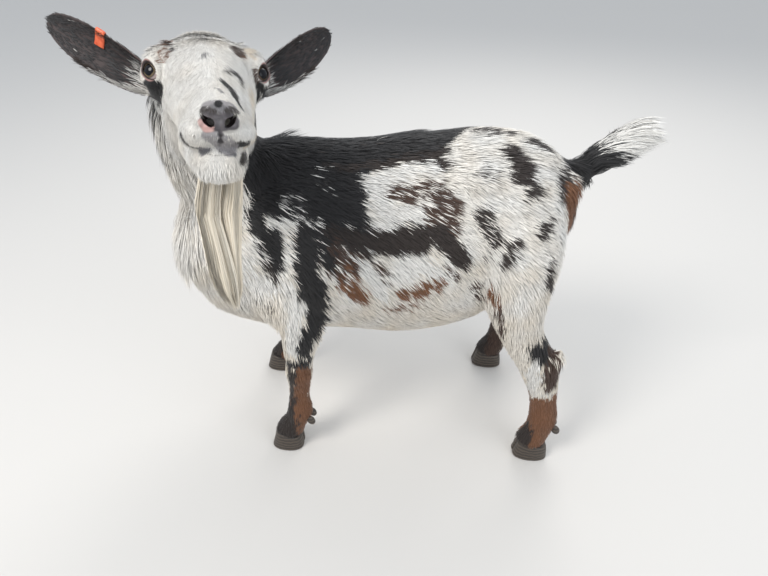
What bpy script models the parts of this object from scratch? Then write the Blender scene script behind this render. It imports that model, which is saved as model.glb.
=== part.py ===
"""A Nigerian dwarf goat, life size, standing still with its neck raised and its head turned to its left.

Metres, +Z up. The goat faces -X and its left side is on -Y. The flesh is modelled whole, out to the
tips of the short coat, from lofts and rounded masses that one voxel remesh fuses. Thin cuts then part
it into named pieces. Hooves, eyes and the ear tag are solids of their own.
"""

import math
import random

import bmesh
import bpy
import numpy as np
from mathutils import Matrix, Vector
from mathutils.bvhtree import BVHTree

GAP = 0.0003            # kept between pieces that touch
CLEAR = 0.00027         # by which hair keeps clear of the next node
WELD = 0.00002          # shorter edges are dissolved
BODY_VOXEL = 0.0032     # of the remesh that fuses the trunk and legs
HEAD_VOXEL = 0.0018     # of the remesh that fuses the head
BODY_SOFTNESS = 15      # rounds of smoothing that melt the masses together
HEAD_SOFTNESS = 14
BODY_TRIANGLES = 4300
HEAD_TRIANGLES = 2700

# Trunk, at the tips of the coat
WITHERS_TOP = 0.516
CROUP_TOP = 0.533
BELLY_BOTTOM = 0.208
BARREL_HALF_WIDTH = 0.128

NECK_ROWS = (
    # x, y, z, half width, half depth of the flesh, inside the long hair of the throat
    (-0.150, 0.000, 0.400, 0.072, 0.085),
    (-0.213, 0.000, 0.430, 0.064, 0.088),
    (-0.250, -0.015, 0.485, 0.052, 0.068),
    (-0.258, -0.043, 0.540, 0.050, 0.055),
    (-0.244, -0.074, 0.590, 0.053, 0.052),
    (-0.226, -0.100, 0.622, 0.046, 0.045),
)
NECK_SIDES = ((0, -1, 0), (0, -1, 0), (0.3, -0.95, 0), (0.7, -0.7, 0), (0.9, -0.2, 0), (0.93, 0.2, 0))
DOCK_ROWS = (
    (0.225, 0, 0.452, 0.022, 0.026),
    (0.258, 0, 0.463, 0.0190, 0.0230),
    (0.284, 0, 0.484, 0.0150, 0.0180),
    (0.302, 0, 0.506, 0.0095, 0.0110),
)

# Long hair
LOCK_SEED = 7
LOCK_THICKNESS = 0.0042
BEARD_LAYERS = 3
BEARD_LOCKS = 8          # in the front layer
BEARD_LOCK_WIDTH = 0.0105
BEARD_TIP_HEIGHT = 0.400
BEARD_DRIFT = 0.07       # of its lower half to the goat's right
RUFF_TIERS = 5
RUFF_LOCKS = 8           # in a full tier
RUFF_FROM, RUFF_TO = 0.31, 0.80   # shares of the neck's length
RUFF_STEEPEST = -0.55    # no lock grows where the skin faces further down
RUFF_SPREAD = 100        # degrees to each side of the front
RUFF_LENGTH = 0.062
RUFF_LOCK_WIDTH = 0.021
RUFF_SUNK = 0.004
TAIL_LOCKS = 11
TAIL_FAN = 8
TAIL_LENGTH = 0.072
TAIL_LOCK_WIDTH = 0.0150
TAIL_FAN_MIDDLE = 44     # degrees above level
TAIL_FAN_SPREAD = 44
POLL_LOCKS = 5
POLL_LENGTH = 0.030
POLL_LOCK_WIDTH = 0.015
GOLDEN_TURN = 2.39996    # radians, spreads roots evenly round an axis

# Head, in its own frame: X to the nose, Y to its left, Z up, origin between the eyes
HEAD_ORIGIN = Vector((-0.201, -0.150, 0.632))
HEAD_SCALE = 1.05
HEAD_HEADING = math.radians(22.0)    # from -Y towards +X
HEAD_RISE = math.radians(19.5)
HEAD_LEAN = math.radians(-7.0)       # its left side is the lower one
EYE_PLACE = (0.002, 0.0485, 0.0045)
EYE_RADIUS = 0.0120
SOCKET_CLEAR = 0.00048   # between the eye and the flesh behind it
LID_THICKNESS = 0.0018
EYE_SIDES = 16
EYE_RINGS = 10
LID_HALF_WIDTH = 0.0098
LID_HALF_HEIGHT = 0.0076
MOUTH_DEPTH = 0.011
MOUTH_OPENING = 0.0018
EAR_BASE = (-0.050, 0.048, -0.001)
EAR_REACH = (-0.036, 0.103, 0.067)
EAR_DROOP = -0.005
EAR_ROOT_HALF = 0.0175
EAR_HALF_WIDTH = 0.0240
EAR_THICKNESS = 0.0028
EAR_ROWS = 12
EAR_COLUMNS = 8
TAG_FROM = 6 / EAR_ROWS
TAG_TO = 7 / EAR_ROWS
TAG_INNER_END = 0.25
TAG_CLEAR = 0.0006
TAG_THICKNESS = 0.0012

# Cuts between the nodes: a point of the plane and its normal, the head's in its own frame
NECK_CUT = (-0.235, 0.0, 0.435)
NECK_CUT_NORMAL = (-0.73, 0.0, 0.68)
HEAD_CUT = (-0.075, 0.0, -0.035)
HEAD_CUT_NORMAL = (0.93, 0.0, 0.36)
TAIL_CUT = (0.2665, 0.0, 0.469)
TAIL_CUT_NORMAL = (0.74, 0.0, 0.675)

# Blocks that part the legs: reach along X, then distance from the middle and height of the top edges
FORE_BLOCK_LEFT = (-0.228, -0.112)
FORE_BLOCK_RIGHT = (-0.285, -0.114)
FORE_BLOCK_INNER, FORE_BLOCK_OUTER = (0.064, 0.226), (0.160, 0.292)
HIND_BLOCK = (0.120, 0.300)
HIND_BLOCK_INNER, HIND_BLOCK_OUTER = (0.040, 0.250), (0.175, 0.332)

# Legs
FORE_SPREAD = 0.100      # hoof centre from the middle plane
HIND_SPREAD = 0.115
CORONET_HEIGHT = 0.036
CORONET_SLOPE = 0.26
CLAW_SLIT = 0.0014
FORE_TOE, FORE_HEEL = -0.214, -0.160
HIND_TOE, HIND_HEEL = 0.199, 0.256
DEWCLAW_APART = 0.0095
DEWCLAW_HEIGHT = 0.064
DEWCLAW_BEHIND = {"fore": 0.0715, "hind": 0.0630}
DEWCLAW_SIZE = (0.0065, 0.0055, 0.0095)
FAR_FORE_STEP = -0.046   # how far the right feet stand ahead of the left
FAR_HIND_STEP = -0.046


def clear_scene():
    for obj in list(bpy.data.objects):
        bpy.data.objects.remove(obj)


def collection(name):
    made = bpy.data.collections.new(name)
    bpy.context.scene.collection.children.link(made)
    return made


def link(obj, group):
    group.objects.link(obj)
    return obj


def material(name, colour, roughness):
    made = bpy.data.materials.new(name)
    made.use_nodes = True
    shader = made.node_tree.nodes["Principled BSDF"]
    shader.inputs["Base Color"].default_value = (*colour, 1.0)
    shader.inputs["Roughness"].default_value = roughness
    return made


def mesh_object(name, points, faces, group):
    mesh = bpy.data.meshes.new(name)
    mesh.from_pydata([tuple(p) for p in points], [], faces)
    mesh.update()
    return link(bpy.data.objects.new(name, mesh), group)


def spline(rows, steps):
    """A Catmull-Rom curve through the rows, with steps points to each stretch."""
    rows = np.array(rows, float)
    padded = np.vstack([2 * rows[0] - rows[1], rows, 2 * rows[-1] - rows[-2]])
    found = []
    for i in range(len(rows) - 1):
        a, b, c, d = padded[i:i + 4]
        for t in np.linspace(0, 1, steps, endpoint=False):
            found.append(0.5 * (2 * b + (c - a) * t + (2 * a - 5 * b + 4 * c - d) * t**2
                                + (3 * b - a - 3 * c + d) * t**3))
    found.append(rows[-1])
    return np.array(found)


def loft(name, rows, group, sides=(0, 1, 0), steps=5, around=24, pinch=0.0, place=None):
    """A closed tube through rows of (x, y, z, half width, half depth).

    sides is the direction of the half width, one for all or one for each row. pinch narrows the
    upper half of each section and fills the lower.
    """
    sides = np.array(sides, float)
    if sides.ndim == 1:
        sides = np.tile(sides, (len(rows), 1))
    pinches = np.full(len(rows), pinch) if np.isscalar(pinch) else np.array(pinch)
    table = spline(np.hstack([np.array(rows, float), sides, pinches[:, None]]), steps)
    centres = table[:, :3]
    tangents = np.gradient(centres, axis=0)
    points, faces = [], []
    turn = np.linspace(0, 2 * math.pi, around, endpoint=False)
    before = Vector((-0.01, 0, 1))
    for row, tangent in zip(table, tangents):
        along = Vector(tangent).normalized()
        side = Vector(row[5:8])
        side = (side - along * side.dot(along)).normalized()
        up = along.cross(side)
        if up.dot(before) < 0:
            up = -up
        before = up
        width, depth = max(row[3], 1e-4), max(row[4], 1e-4)
        for angle in turn:
            across = width * math.cos(angle) * (1 - row[8] * math.sin(angle))
            points.append(Vector(row[:3]) + side * across + up * depth * math.sin(angle))
    rings = len(table)
    for i in range(rings - 1):
        for j in range(around):
            k = (j + 1) % around
            faces.append((i * around + j, i * around + k, (i + 1) * around + k, (i + 1) * around + j))
    faces.append(tuple(range(around))[::-1])
    faces.append(tuple((rings - 1) * around + j for j in range(around)))
    obj = mesh_object(name, points, faces, group)
    tidy_normals(obj.data)
    if place is not None:
        obj.data.transform(place)
    return obj


def tidy_normals(mesh):
    edit = bmesh.new()
    edit.from_mesh(mesh)
    bmesh.ops.recalc_face_normals(edit, faces=edit.faces)
    edit.to_mesh(mesh)
    edit.free()


def mass(name, centre, radii, group, turn=(0, 0, 0), place=None, detail=20):
    """A rounded mass: a sphere scaled to radii, turned by Euler angles in degrees."""
    edit = bmesh.new()
    bmesh.ops.create_uvsphere(edit, u_segments=detail, v_segments=detail // 2, radius=1.0)
    mesh = bpy.data.meshes.new(name)
    edit.to_mesh(mesh)
    edit.free()
    angles = [math.radians(a) for a in turn]
    matrix = Matrix.Translation(centre)
    for axis, angle in zip("XYZ", angles):
        matrix = matrix @ Matrix.Rotation(angle, 4, axis)
    matrix = matrix @ Matrix.Diagonal((*radii, 1.0))
    if place is not None:
        matrix = place @ matrix
    mesh.transform(matrix)
    return link(bpy.data.objects.new(name, mesh), group)


def both_sides(centre):
    """The centre and its mirror image, with the side's sign: left is -1 on the body."""
    x, y, z = centre
    return (((x, -y, z), -1), ((x, y, z), 1))


def head_frame():
    """The matrix from the head's own frame to the goat's."""
    forward = Vector((math.sin(HEAD_HEADING) * math.cos(HEAD_RISE),
                      -math.cos(HEAD_HEADING) * math.cos(HEAD_RISE), math.sin(HEAD_RISE)))
    level = Vector((0, 0, 1)).cross(forward).normalized()
    upright = forward.cross(level)
    left = level * math.cos(HEAD_LEAN) + upright * math.sin(HEAD_LEAN)
    up = forward.cross(left)
    turn = Matrix((forward, left, up)).transposed().to_4x4()
    return Matrix.Translation(HEAD_ORIGIN) @ turn @ Matrix.Scale(HEAD_SCALE, 4)


# Flesh

def trunk(group):
    """The torso: sections given by their top and bottom lines."""
    sections = (
        # x, top, bottom, half width, pinch
        (-0.334, 0.398, 0.342, 0.012, 0.0),
        (-0.324, 0.430, 0.306, 0.040, 0.0),
        (-0.298, 0.466, 0.264, 0.072, 0.1),
        (-0.250, 0.498, 0.224, 0.094, 0.2),
        (-0.170, WITHERS_TOP, BELLY_BOTTOM, 0.106, 0.28),
        (-0.080, 0.512, BELLY_BOTTOM + 0.004, 0.120, 0.20),
        (0.000, 0.517, BELLY_BOTTOM, BARREL_HALF_WIDTH, 0.16),
        (0.070, 0.528, 0.222, BARREL_HALF_WIDTH - 0.004, 0.12),
        (0.130, CROUP_TOP, 0.262, 0.108, 0.05),
        (0.190, 0.527, 0.305, 0.090, 0.0),
        (0.232, 0.498, 0.350, 0.062, 0.0),
        (0.258, 0.468, 0.388, 0.030, 0.0),
    )
    rows = [(x, 0, (top + low) / 2, wide, (top - low) / 2) for x, top, low, wide, _ in sections]
    loft("trunk", rows, group, pinch=[s[4] for s in sections], steps=6, around=36)
    for centre, sign in both_sides((-0.190, 0.068, 0.378)):
        mass("shoulder", centre, (0.054, 0.036, 0.112), group, turn=(sign * 8, 30, 0))
    for centre, sign in both_sides((0.160, 0.058, 0.410)):
        mass("haunch", centre, (0.076, 0.046, 0.100), group, turn=(sign * 10, -8, 0))
    for centre, _ in both_sides((0.104, 0.043, 0.475)):
        mass("hip", centre, (0.062, 0.044, 0.030), group)
    for centre, _ in both_sides((0.224, 0.030, 0.446)):
        mass("pin_bone", centre, (0.032, 0.024, 0.036), group)
    mass("breast", (-0.276, 0, 0.350), (0.046, 0.062, 0.090), group)
    mass("brisket", (-0.235, 0, 0.262), (0.060, 0.052, 0.050), group, turn=(0, 15, 0))


def neck(group):
    """The neck rises from the breast and turns to the left, so its sections turn with it."""
    loft("neck", NECK_ROWS, group, sides=NECK_SIDES, steps=6, around=28)


def leg_rows(rows, side, spread, step, reach):
    """Rows of (x, height, half width, half depth) as a leg on one side, its foot stepped along X."""
    made = []
    for x, inward, z, wide, deep in rows:
        lower = max(0.0, 1 - z / reach)
        made.append((x + step * lower, side * (spread - inward), z, wide, deep))
    return made


def fore_leg(group, side, step):
    rows = (
        # x, how far inside the hoof's line, height, half width, half depth
        (-0.215, 0.062, 0.410, 0.022, 0.040),
        (-0.205, 0.036, 0.360, 0.032, 0.050),
        (-0.176, 0.018, 0.308, 0.034, 0.048),
        (-0.146, 0.005, 0.262, 0.030, 0.038),
        (-0.149, 0.000, 0.218, 0.0235, 0.0275),
        (-0.152, 0.000, 0.188, 0.0210, 0.0220),
        (-0.154, 0.000, 0.168, 0.0225, 0.0225),
        (-0.156, 0.000, 0.140, 0.0175, 0.0188),
        (-0.159, 0.000, 0.110, 0.0168, 0.0180),
        (-0.160, 0.000, 0.082, 0.0212, 0.0220),
        (-0.168, 0.000, 0.060, 0.0195, 0.0200),
        (-0.180, 0.000, 0.038, 0.0215, 0.0240),
        (-0.188, 0.000, 0.018, 0.0200, 0.0240),
    )
    loft("fore_leg", leg_rows(rows, side, FORE_SPREAD, step, 0.32), group, steps=4, around=20)


def hind_leg(group, side, step):
    rows = (
        (0.160, 0.085, 0.480, 0.026, 0.045),
        (0.166, 0.058, 0.430, 0.040, 0.064),
        (0.168, 0.038, 0.380, 0.046, 0.064),
        (0.170, 0.026, 0.335, 0.044, 0.056),
        (0.175, 0.014, 0.298, 0.038, 0.047),
        (0.186, 0.006, 0.256, 0.0285, 0.0345),
        (0.204, 0.003, 0.222, 0.0235, 0.0310),
        (0.221, 0.002, 0.188, 0.0225, 0.0305),
        (0.231, 0.001, 0.150, 0.0200, 0.0245),
        (0.236, 0.000, 0.118, 0.0187, 0.0222),
        (0.240, 0.000, 0.085, 0.0222, 0.0242),
        (0.236, 0.000, 0.058, 0.0205, 0.0225),
        (0.228, 0.000, 0.038, 0.0220, 0.0250),
        (0.220, 0.000, 0.018, 0.0200, 0.0250),
    )
    loft("hind_leg", leg_rows(rows, side, HIND_SPREAD, step, 0.34), group, steps=4, around=20)
    hock = Vector((0.240 + step * 0.45, side * HIND_SPREAD, 0.198))
    mass("hock", hock, (0.0125, 0.0120, 0.036), group, turn=(0, 16, 0))


def dock(group):
    """The root of the tail, held up and back."""
    loft("dock", DOCK_ROWS, group, steps=5, around=16)


def skull(group, place):
    """The head: the upper face, the lower jaw and the masses that give it its form."""
    face = (
        # x, centre height, half width, half height, pinch
        (-0.092, -0.016, 0.026, 0.028, 0.0),
        (-0.078, -0.010, 0.040, 0.042, 0.0),
        (-0.050, -0.002, 0.050, 0.049, -0.04),
        (-0.020, -0.004, 0.0540, 0.0490, -0.12),
        (0.005, -0.011, 0.0520, 0.0455, -0.12),
        (0.030, -0.021, 0.0430, 0.0410, 0.0),
        (0.060, -0.031, 0.0360, 0.0345, 0.16),
        (0.085, -0.038, 0.0320, 0.0290, 0.22),
        (0.104, -0.044, 0.0270, 0.0235, 0.18),
        (0.116, -0.047, 0.0200, 0.0175, 0.10),
        (0.1215, -0.048, 0.0090, 0.0085, 0.0),
    )
    loft("face", [(x, 0, z, w, h) for x, z, w, h, _ in face], group, pinch=[f[4] for f in face],
         steps=5, around=32, place=place)
    jaw = (
        (-0.068, -0.046, 0.030, 0.030),
        (-0.032, -0.052, 0.038, 0.036),
        (0.012, -0.060, 0.035, 0.030),
        (0.050, -0.070, 0.030, 0.023),
        (0.080, -0.0765, 0.0255, 0.0185),
        (0.098, -0.0780, 0.0215, 0.0150),
        (0.109, -0.0770, 0.0120, 0.0085),
    )
    loft("jaw", [(x, 0, z, w, h) for x, z, w, h in jaw], group, steps=5, around=24, place=place)
    for sign in (-1, 1):
        mass("cheek", (-0.030, sign * 0.027, -0.036), (0.050, 0.024, 0.042), group, place=place)
        mass("brow", (-0.006, sign * 0.0375, 0.0165), (0.036, 0.020, 0.018), group,
             turn=(0, 14, -sign * 14), place=place)
        mass("orbit", (-0.003, sign * 0.0405, 0.003), (0.031, 0.0220, 0.027), group,
             turn=(0, 8, -sign * 14), place=place)
        mass("bud", (-0.036, sign * 0.026, 0.041), (0.014, 0.012, 0.012), group, place=place)
        mass("lip_pad", (0.092, sign * 0.0185, -0.053), (0.026, 0.0160, 0.0160), group, place=place)
        mass("nostril_wing", (0.106, sign * 0.0125, -0.0415), (0.014, 0.0105, 0.0125), group,
             place=place)
    mass("chin", (0.089, 0, -0.084), (0.022, 0.022, 0.014), group, place=place)
    mass("poll", (-0.048, 0, 0.038), (0.034, 0.034, 0.018), group, place=place)


def joined(name, objects, group):
    """The closed meshes of the objects in one mesh; the objects are removed."""
    whole = bmesh.new()
    for piece in objects:
        whole.from_mesh(piece.data)
        bpy.data.objects.remove(piece)
    mesh = bpy.data.meshes.new(name)
    whole.to_mesh(mesh)
    whole.free()
    return link(bpy.data.objects.new(name, mesh), group)


def fused(name, objects, group, voxel, softness, triangles):
    """The masses as one closed skin: joined, remeshed, smoothed and thinned to a count of triangles."""
    obj = joined(name, objects, group)
    remesh = obj.modifiers.new("fuse", "REMESH")
    remesh.mode = "VOXEL"
    remesh.voxel_size = voxel
    smooth = obj.modifiers.new("soften", "SMOOTH")
    smooth.factor = 0.5
    smooth.iterations = softness
    bake_modifiers(obj)
    thin = obj.modifiers.new("thin", "DECIMATE")
    thin.ratio = triangles / (2 * len(obj.data.polygons))
    thin.use_collapse_triangulate = True
    bake_modifiers(obj)
    keep_largest(obj)
    return obj


def bake_modifiers(obj):
    """Puts the evaluated mesh in place of the object's own."""
    graph = bpy.context.evaluated_depsgraph_get()
    graph.update()
    made = bpy.data.meshes.new_from_object(obj.evaluated_get(graph))
    obj.modifiers.clear()
    obj.data = made


def keep_largest(obj):
    """Keeps only the largest closed surface of the mesh, triangulated."""
    edit = bmesh.new()
    edit.from_mesh(obj.data)
    edit.verts.ensure_lookup_table()
    seen = set()
    groups = []
    for start in edit.verts:
        if start in seen:
            continue
        seen.add(start)
        stack, found = [start], []
        while stack:
            vertex = stack.pop()
            found.append(vertex)
            for edge in vertex.link_edges:
                other = edge.other_vert(vertex)
                if other not in seen:
                    seen.add(other)
                    stack.append(other)
        groups.append(found)
    groups.sort(key=len, reverse=True)
    for group in groups[1:]:
        bmesh.ops.delete(edit, geom=group, context="VERTS")
    bmesh.ops.triangulate(edit, faces=edit.faces)
    collapse_short_edges(edit)
    edit.to_mesh(obj.data)
    edit.free()


def collapse_short_edges(edit):
    """Collapses edges shorter than WELD where that leaves every edge between two faces."""
    found = True
    while found:
        found = False
        for edge in list(edit.edges):
            if not edge.is_valid or edge.calc_length() > WELD:
                continue
            one, other = edge.verts
            near_one = {e.other_vert(one) for e in one.link_edges}
            near_other = {e.other_vert(other) for e in other.link_edges}
            if len(near_one & near_other) != 2:
                continue
            bmesh.ops.pointmerge(edit, verts=[one, other], merge_co=one.co)
            found = True


def combine(obj, operation, operand):
    """One Boolean with an object or a collection of closed meshes, which is then removed."""
    step = obj.modifiers.new("combine", "BOOLEAN")
    step.operation = operation
    step.solver = "MANIFOLD"
    if isinstance(operand, bpy.types.Collection):
        step.operand_type = "COLLECTION"
        step.collection = operand
    else:
        step.object = operand
    bake_modifiers(obj)
    if isinstance(operand, bpy.types.Collection):
        for piece in list(operand.objects):
            bpy.data.objects.remove(piece)
    else:
        bpy.data.objects.remove(operand)
    keep_largest(obj)
    return obj


def copy_of(obj, name, group, grow=0.0):
    """A copy of the object, its surface moved outward by grow."""
    mesh = obj.data.copy()
    if grow:
        edit = bmesh.new()
        edit.from_mesh(mesh)
        edit.normal_update()
        moves = [vertex.normal * grow * vertex.calc_shell_factor() for vertex in edit.verts]
        for vertex, move in zip(edit.verts, moves):
            vertex.co += move
        edit.to_mesh(mesh)
        edit.free()
    return link(bpy.data.objects.new(name, mesh), group)


def half_space(name, point, normal, group, reach=0.6):
    """A block whose face lies on the plane and which fills the side that the normal points to."""
    normal = Vector(normal).normalized()
    turn = normal.to_track_quat("Z", "Y").to_matrix().to_4x4()
    edit = bmesh.new()
    bmesh.ops.create_cube(edit, size=1.0)
    mesh = bpy.data.meshes.new(name)
    edit.to_mesh(mesh)
    edit.free()
    mesh.transform(Matrix.Translation(Vector(point) + normal * reach / 2) @ turn
                   @ Matrix.Scale(reach, 4))
    return link(bpy.data.objects.new(name, mesh), group)


def leg_block(name, side, x_range, inner, outer, grow, group):
    """A block round a leg. inner and outer are the (distance from the middle, height) of its top."""
    points = []
    x_low, x_high = x_range[0] - grow, x_range[1] + grow
    for x in (x_low, x_high):
        for distance, height in ((inner[0] - grow, -0.05), (outer[0] + grow, -0.05),
                                 (outer[0] + grow, outer[1] + grow), (inner[0] - grow, inner[1] + grow)):
            points.append((x, side * distance, height))
    faces = [(0, 1, 2, 3), (4, 7, 6, 5), (0, 4, 5, 1), (1, 5, 6, 2), (2, 6, 7, 3), (3, 7, 4, 0)]
    obj = mesh_object(name, points, faces, group)
    tidy_normals(obj.data)
    return obj


def lock(name, root, flow, length, width, normal, group, droop=(0, 0, -1), bend=0.3, steps=4):
    """A flat tapered lock: four-sided sections along a spine that bends towards droop, closed to a tip."""
    spine, at = [Vector(root)], Vector(root)
    direction, droop = Vector(flow).normalized(), Vector(droop).normalized()
    for i in range(steps):
        at = at + direction.lerp(droop, bend * (i + 0.5) / steps).normalized() * length / steps
        spine.append(at)
    points, faces = [], []
    for i, point in enumerate(spine[:-1]):
        t = i / steps
        along = (spine[i + 1] - spine[max(i - 1, 0)]).normalized()
        across = along.cross(Vector(normal)).normalized()
        up = across.cross(along).normalized()
        half = width / 2 * (0.8 + 0.5 * math.sin(math.pi * min(1.0, 1.3 * t))) * (1 - 0.72 * t * t)
        thick = LOCK_THICKNESS * (1 - 0.5 * t)
        points += [point - across * half, point - up * thick / 2,
                   point + across * half, point + up * thick / 2]
    points.append(spine[-1])
    tip = len(points) - 1
    for i in range(steps - 1):
        for j in range(4):
            k = (j + 1) % 4
            a, b, c, d = 4 * i + j, 4 * i + k, 4 * i + 4 + k, 4 * i + 4 + j
            faces += [(a, b, c), (a, c, d)]
    for j in range(4):
        faces.append((tip - 4 + j, tip - 4 + (j + 1) % 4, tip))
    faces += [(3, 2, 1), (3, 1, 0)]
    obj = mesh_object(name, points, faces, group)
    tidy_normals(obj.data)
    return obj


# Head details

def mouth_line(group, place):
    """A wedge that follows the mouth round the muzzle and cuts the line between the lips."""
    corners = ((0.060, 0.0430, -0.0500), (0.074, 0.0380, -0.0530), (0.088, 0.0310, -0.0595),
               (0.103, 0.0200, -0.0690), (0.1125, 0.000, -0.0730))
    half = np.array(corners)
    path = spline(np.vstack([half, half[-2::-1] * (1, -1, 1)]), 3)
    points, faces = [], []
    for x, y, z in path:
        inward = Vector((0.055 - x, -y, 0)).normalized()
        if abs(y) > 0.03:
            inward = Vector((0.0, -math.copysign(1, y), 0)).lerp(inward, 0.35).normalized()
        outer = Vector((x, y, z)) - inward * 0.004
        inner = outer + inward * MOUTH_DEPTH
        points += [outer + Vector((0, 0, MOUTH_OPENING / 2)), outer - Vector((0, 0, MOUTH_OPENING / 2)),
                   inner - Vector((0, 0, 0.0004)), inner + Vector((0, 0, 0.0004))]
    count = len(path)
    for i in range(count - 1):
        for j in range(4):
            k = (j + 1) % 4
            faces.append((4 * i + j, 4 * i + k, 4 * i + 4 + k, 4 * i + 4 + j))
    faces.append((3, 2, 1, 0))
    faces.append(tuple(4 * (count - 1) + j for j in range(4)))
    obj = mesh_object("mouth_line", points, faces, group)
    tidy_normals(obj.data)
    obj.data.transform(place)
    return obj


def nostril(side, group, place):
    """A comma: a deep round hole with a tail that runs up and out."""
    rows = (
        (0.100, side * 0.0065, -0.0425, 0.0030, 0.0030),
        (0.110, side * 0.0085, -0.0435, 0.0040, 0.0042),
        (0.118, side * 0.0100, -0.0435, 0.0045, 0.0046),
        (0.126, side * 0.0110, -0.0425, 0.0048, 0.0048),
    )
    hole = loft("nostril", rows, group, steps=2, around=10, place=place)
    tail_rows = (
        (0.1170, side * 0.0105, -0.0410, 0.0026, 0.0032),
        (0.1165, side * 0.0145, -0.0385, 0.0022, 0.0042),
        (0.1125, side * 0.0182, -0.0362, 0.0015, 0.0042),
        (0.1075, side * 0.0215, -0.0345, 0.0007, 0.0030),
    )
    tail = loft("nostril_tail", tail_rows, group, sides=(0, 0.4, 1), steps=2, around=8, place=place)
    return hole, tail


def eye_axis(side):
    return Vector((0.70, side * 0.68, 0.20)).normalized()


def eye_frame(side, place):
    """The matrix from an eye's own frame: Z out through the pupil, X along the opening."""
    out = eye_axis(side)
    along = Vector((1, 0, -0.38))
    along = (along - out * along.dot(out)).normalized()
    turn = Matrix((along, out.cross(along), out)).transposed().to_4x4()
    centre = Vector((EYE_PLACE[0], side * EYE_PLACE[1], EYE_PLACE[2]))
    return place @ Matrix.Translation(centre) @ turn


def ball(name, radius, group, side, place):
    """A sphere about the middle of one eye."""
    edit = bmesh.new()
    bmesh.ops.create_uvsphere(edit, u_segments=EYE_SIDES, v_segments=EYE_RINGS, radius=radius)
    mesh = bpy.data.meshes.new(name)
    edit.to_mesh(mesh)
    edit.free()
    mesh.transform(eye_frame(side, place))
    return link(bpy.data.objects.new(name, mesh), group)


def lid_opening(side, group, place):
    """The almond between the lids, as a cutter that widens outward from the eye's middle."""
    points, faces = [], []
    around = 16
    for depth, grow in ((0.35, 0.42), (2.2, 2.05)):
        for i in range(around):
            angle = 2 * math.pi * i / around
            x = math.cos(angle) * LID_HALF_WIDTH * grow
            y = math.sin(angle) * abs(math.sin(angle)) ** 0.25 * LID_HALF_HEIGHT * grow
            points.append((x, y, depth * EYE_RADIUS))
    for i in range(around):
        j = (i + 1) % around
        faces.append((i, j, around + j, around + i))
    faces.append(tuple(range(around))[::-1])
    faces.append(tuple(around + i for i in range(around)))
    obj = mesh_object("lid_opening", points, faces, group)
    tidy_normals(obj.data)
    obj.data.transform(eye_frame(side, place))
    return obj


# Ears

def ear_surface(side, u, v, layer):
    """A point of the ear in the head's frame. u runs to the tip, v across, layer 0 out and 1 in."""
    base = Vector(EAR_BASE)
    tip = base + Vector(EAR_REACH)
    sag = Vector((0.0, 0.0, -EAR_DROOP)) * (u * u)
    lift = Vector((0.0, 0.0, EAR_DROOP)) * u
    axis_point = base.lerp(tip, u) + sag + lift
    along = (tip - base + Vector((0, 0, EAR_DROOP)) * (1 - 2 * u)).normalized()
    opening = Vector((0.86, 0.28, -0.18)).lerp(Vector((0.90, 0.0, -0.42)), u)
    opening = (opening - along * opening.dot(along)).normalized()
    across = along.cross(opening).normalized()
    rise = min(1.0, u / 0.38)
    wide = EAR_ROOT_HALF + (EAR_HALF_WIDTH - EAR_ROOT_HALF) * math.sin(rise * math.pi / 2)
    if u > 0.38:
        wide *= max(0.0, 1 - ((u - 0.38) / 0.62) ** 3.1) ** 0.54
    curl = 1.75 + (0.62 - 1.75) * min(1.0, u / 0.8) ** 0.7
    half_arc = wide * (1 + 0.22 * (curl - 0.6))
    if layer:
        half_arc *= 1 - EAR_THICKNESS * 0.35 / max(half_arc, EAR_THICKNESS)
    radius = half_arc / curl
    angle = curl * v
    point = axis_point + across * radius * math.sin(angle) - opening * radius * (math.cos(angle) - 1)
    inward = -across * math.sin(angle) + opening * math.cos(angle)
    if layer:
        thick = EAR_THICKNESS * (1 - 0.55 * abs(v) ** 3) * (1 - 0.35 * u)
        point = point + inward * thick
    point.y *= side
    return point


def ear(name, side, group, place):
    """A cupped shell with an outer and an inner surface, closed along its edge."""
    points, faces = [], []
    us = [i / EAR_ROWS for i in range(EAR_ROWS)] + [0.985]
    vs = [-1 + 2 * j / EAR_COLUMNS for j in range(EAR_COLUMNS + 1)]
    for u in us:
        for v in vs:
            points.append(ear_surface(side, u, v, 0))
        for v in vs[::-1]:
            points.append(ear_surface(side, u, v, 1))
    ring = 2 * len(vs)
    for i in range(len(us) - 1):
        for j in range(ring):
            k = (j + 1) % ring
            faces.append((ring * i + j, ring * i + k, ring * i + ring + k, ring * i + ring + j))
    columns = len(vs)
    for row, flip in ((0, 1), (len(us) - 1, 0)):
        for j in range(columns - 1):
            a, b = ring * row + j, ring * row + j + 1
            c, d = ring * row + ring - 2 - j, ring * row + ring - 1 - j
            faces.append((a, d, c, b) if flip else (a, b, c, d))
    obj = mesh_object(name, points, faces, group)
    tidy_normals(obj.data)
    obj.data.transform(place)
    return obj


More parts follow.
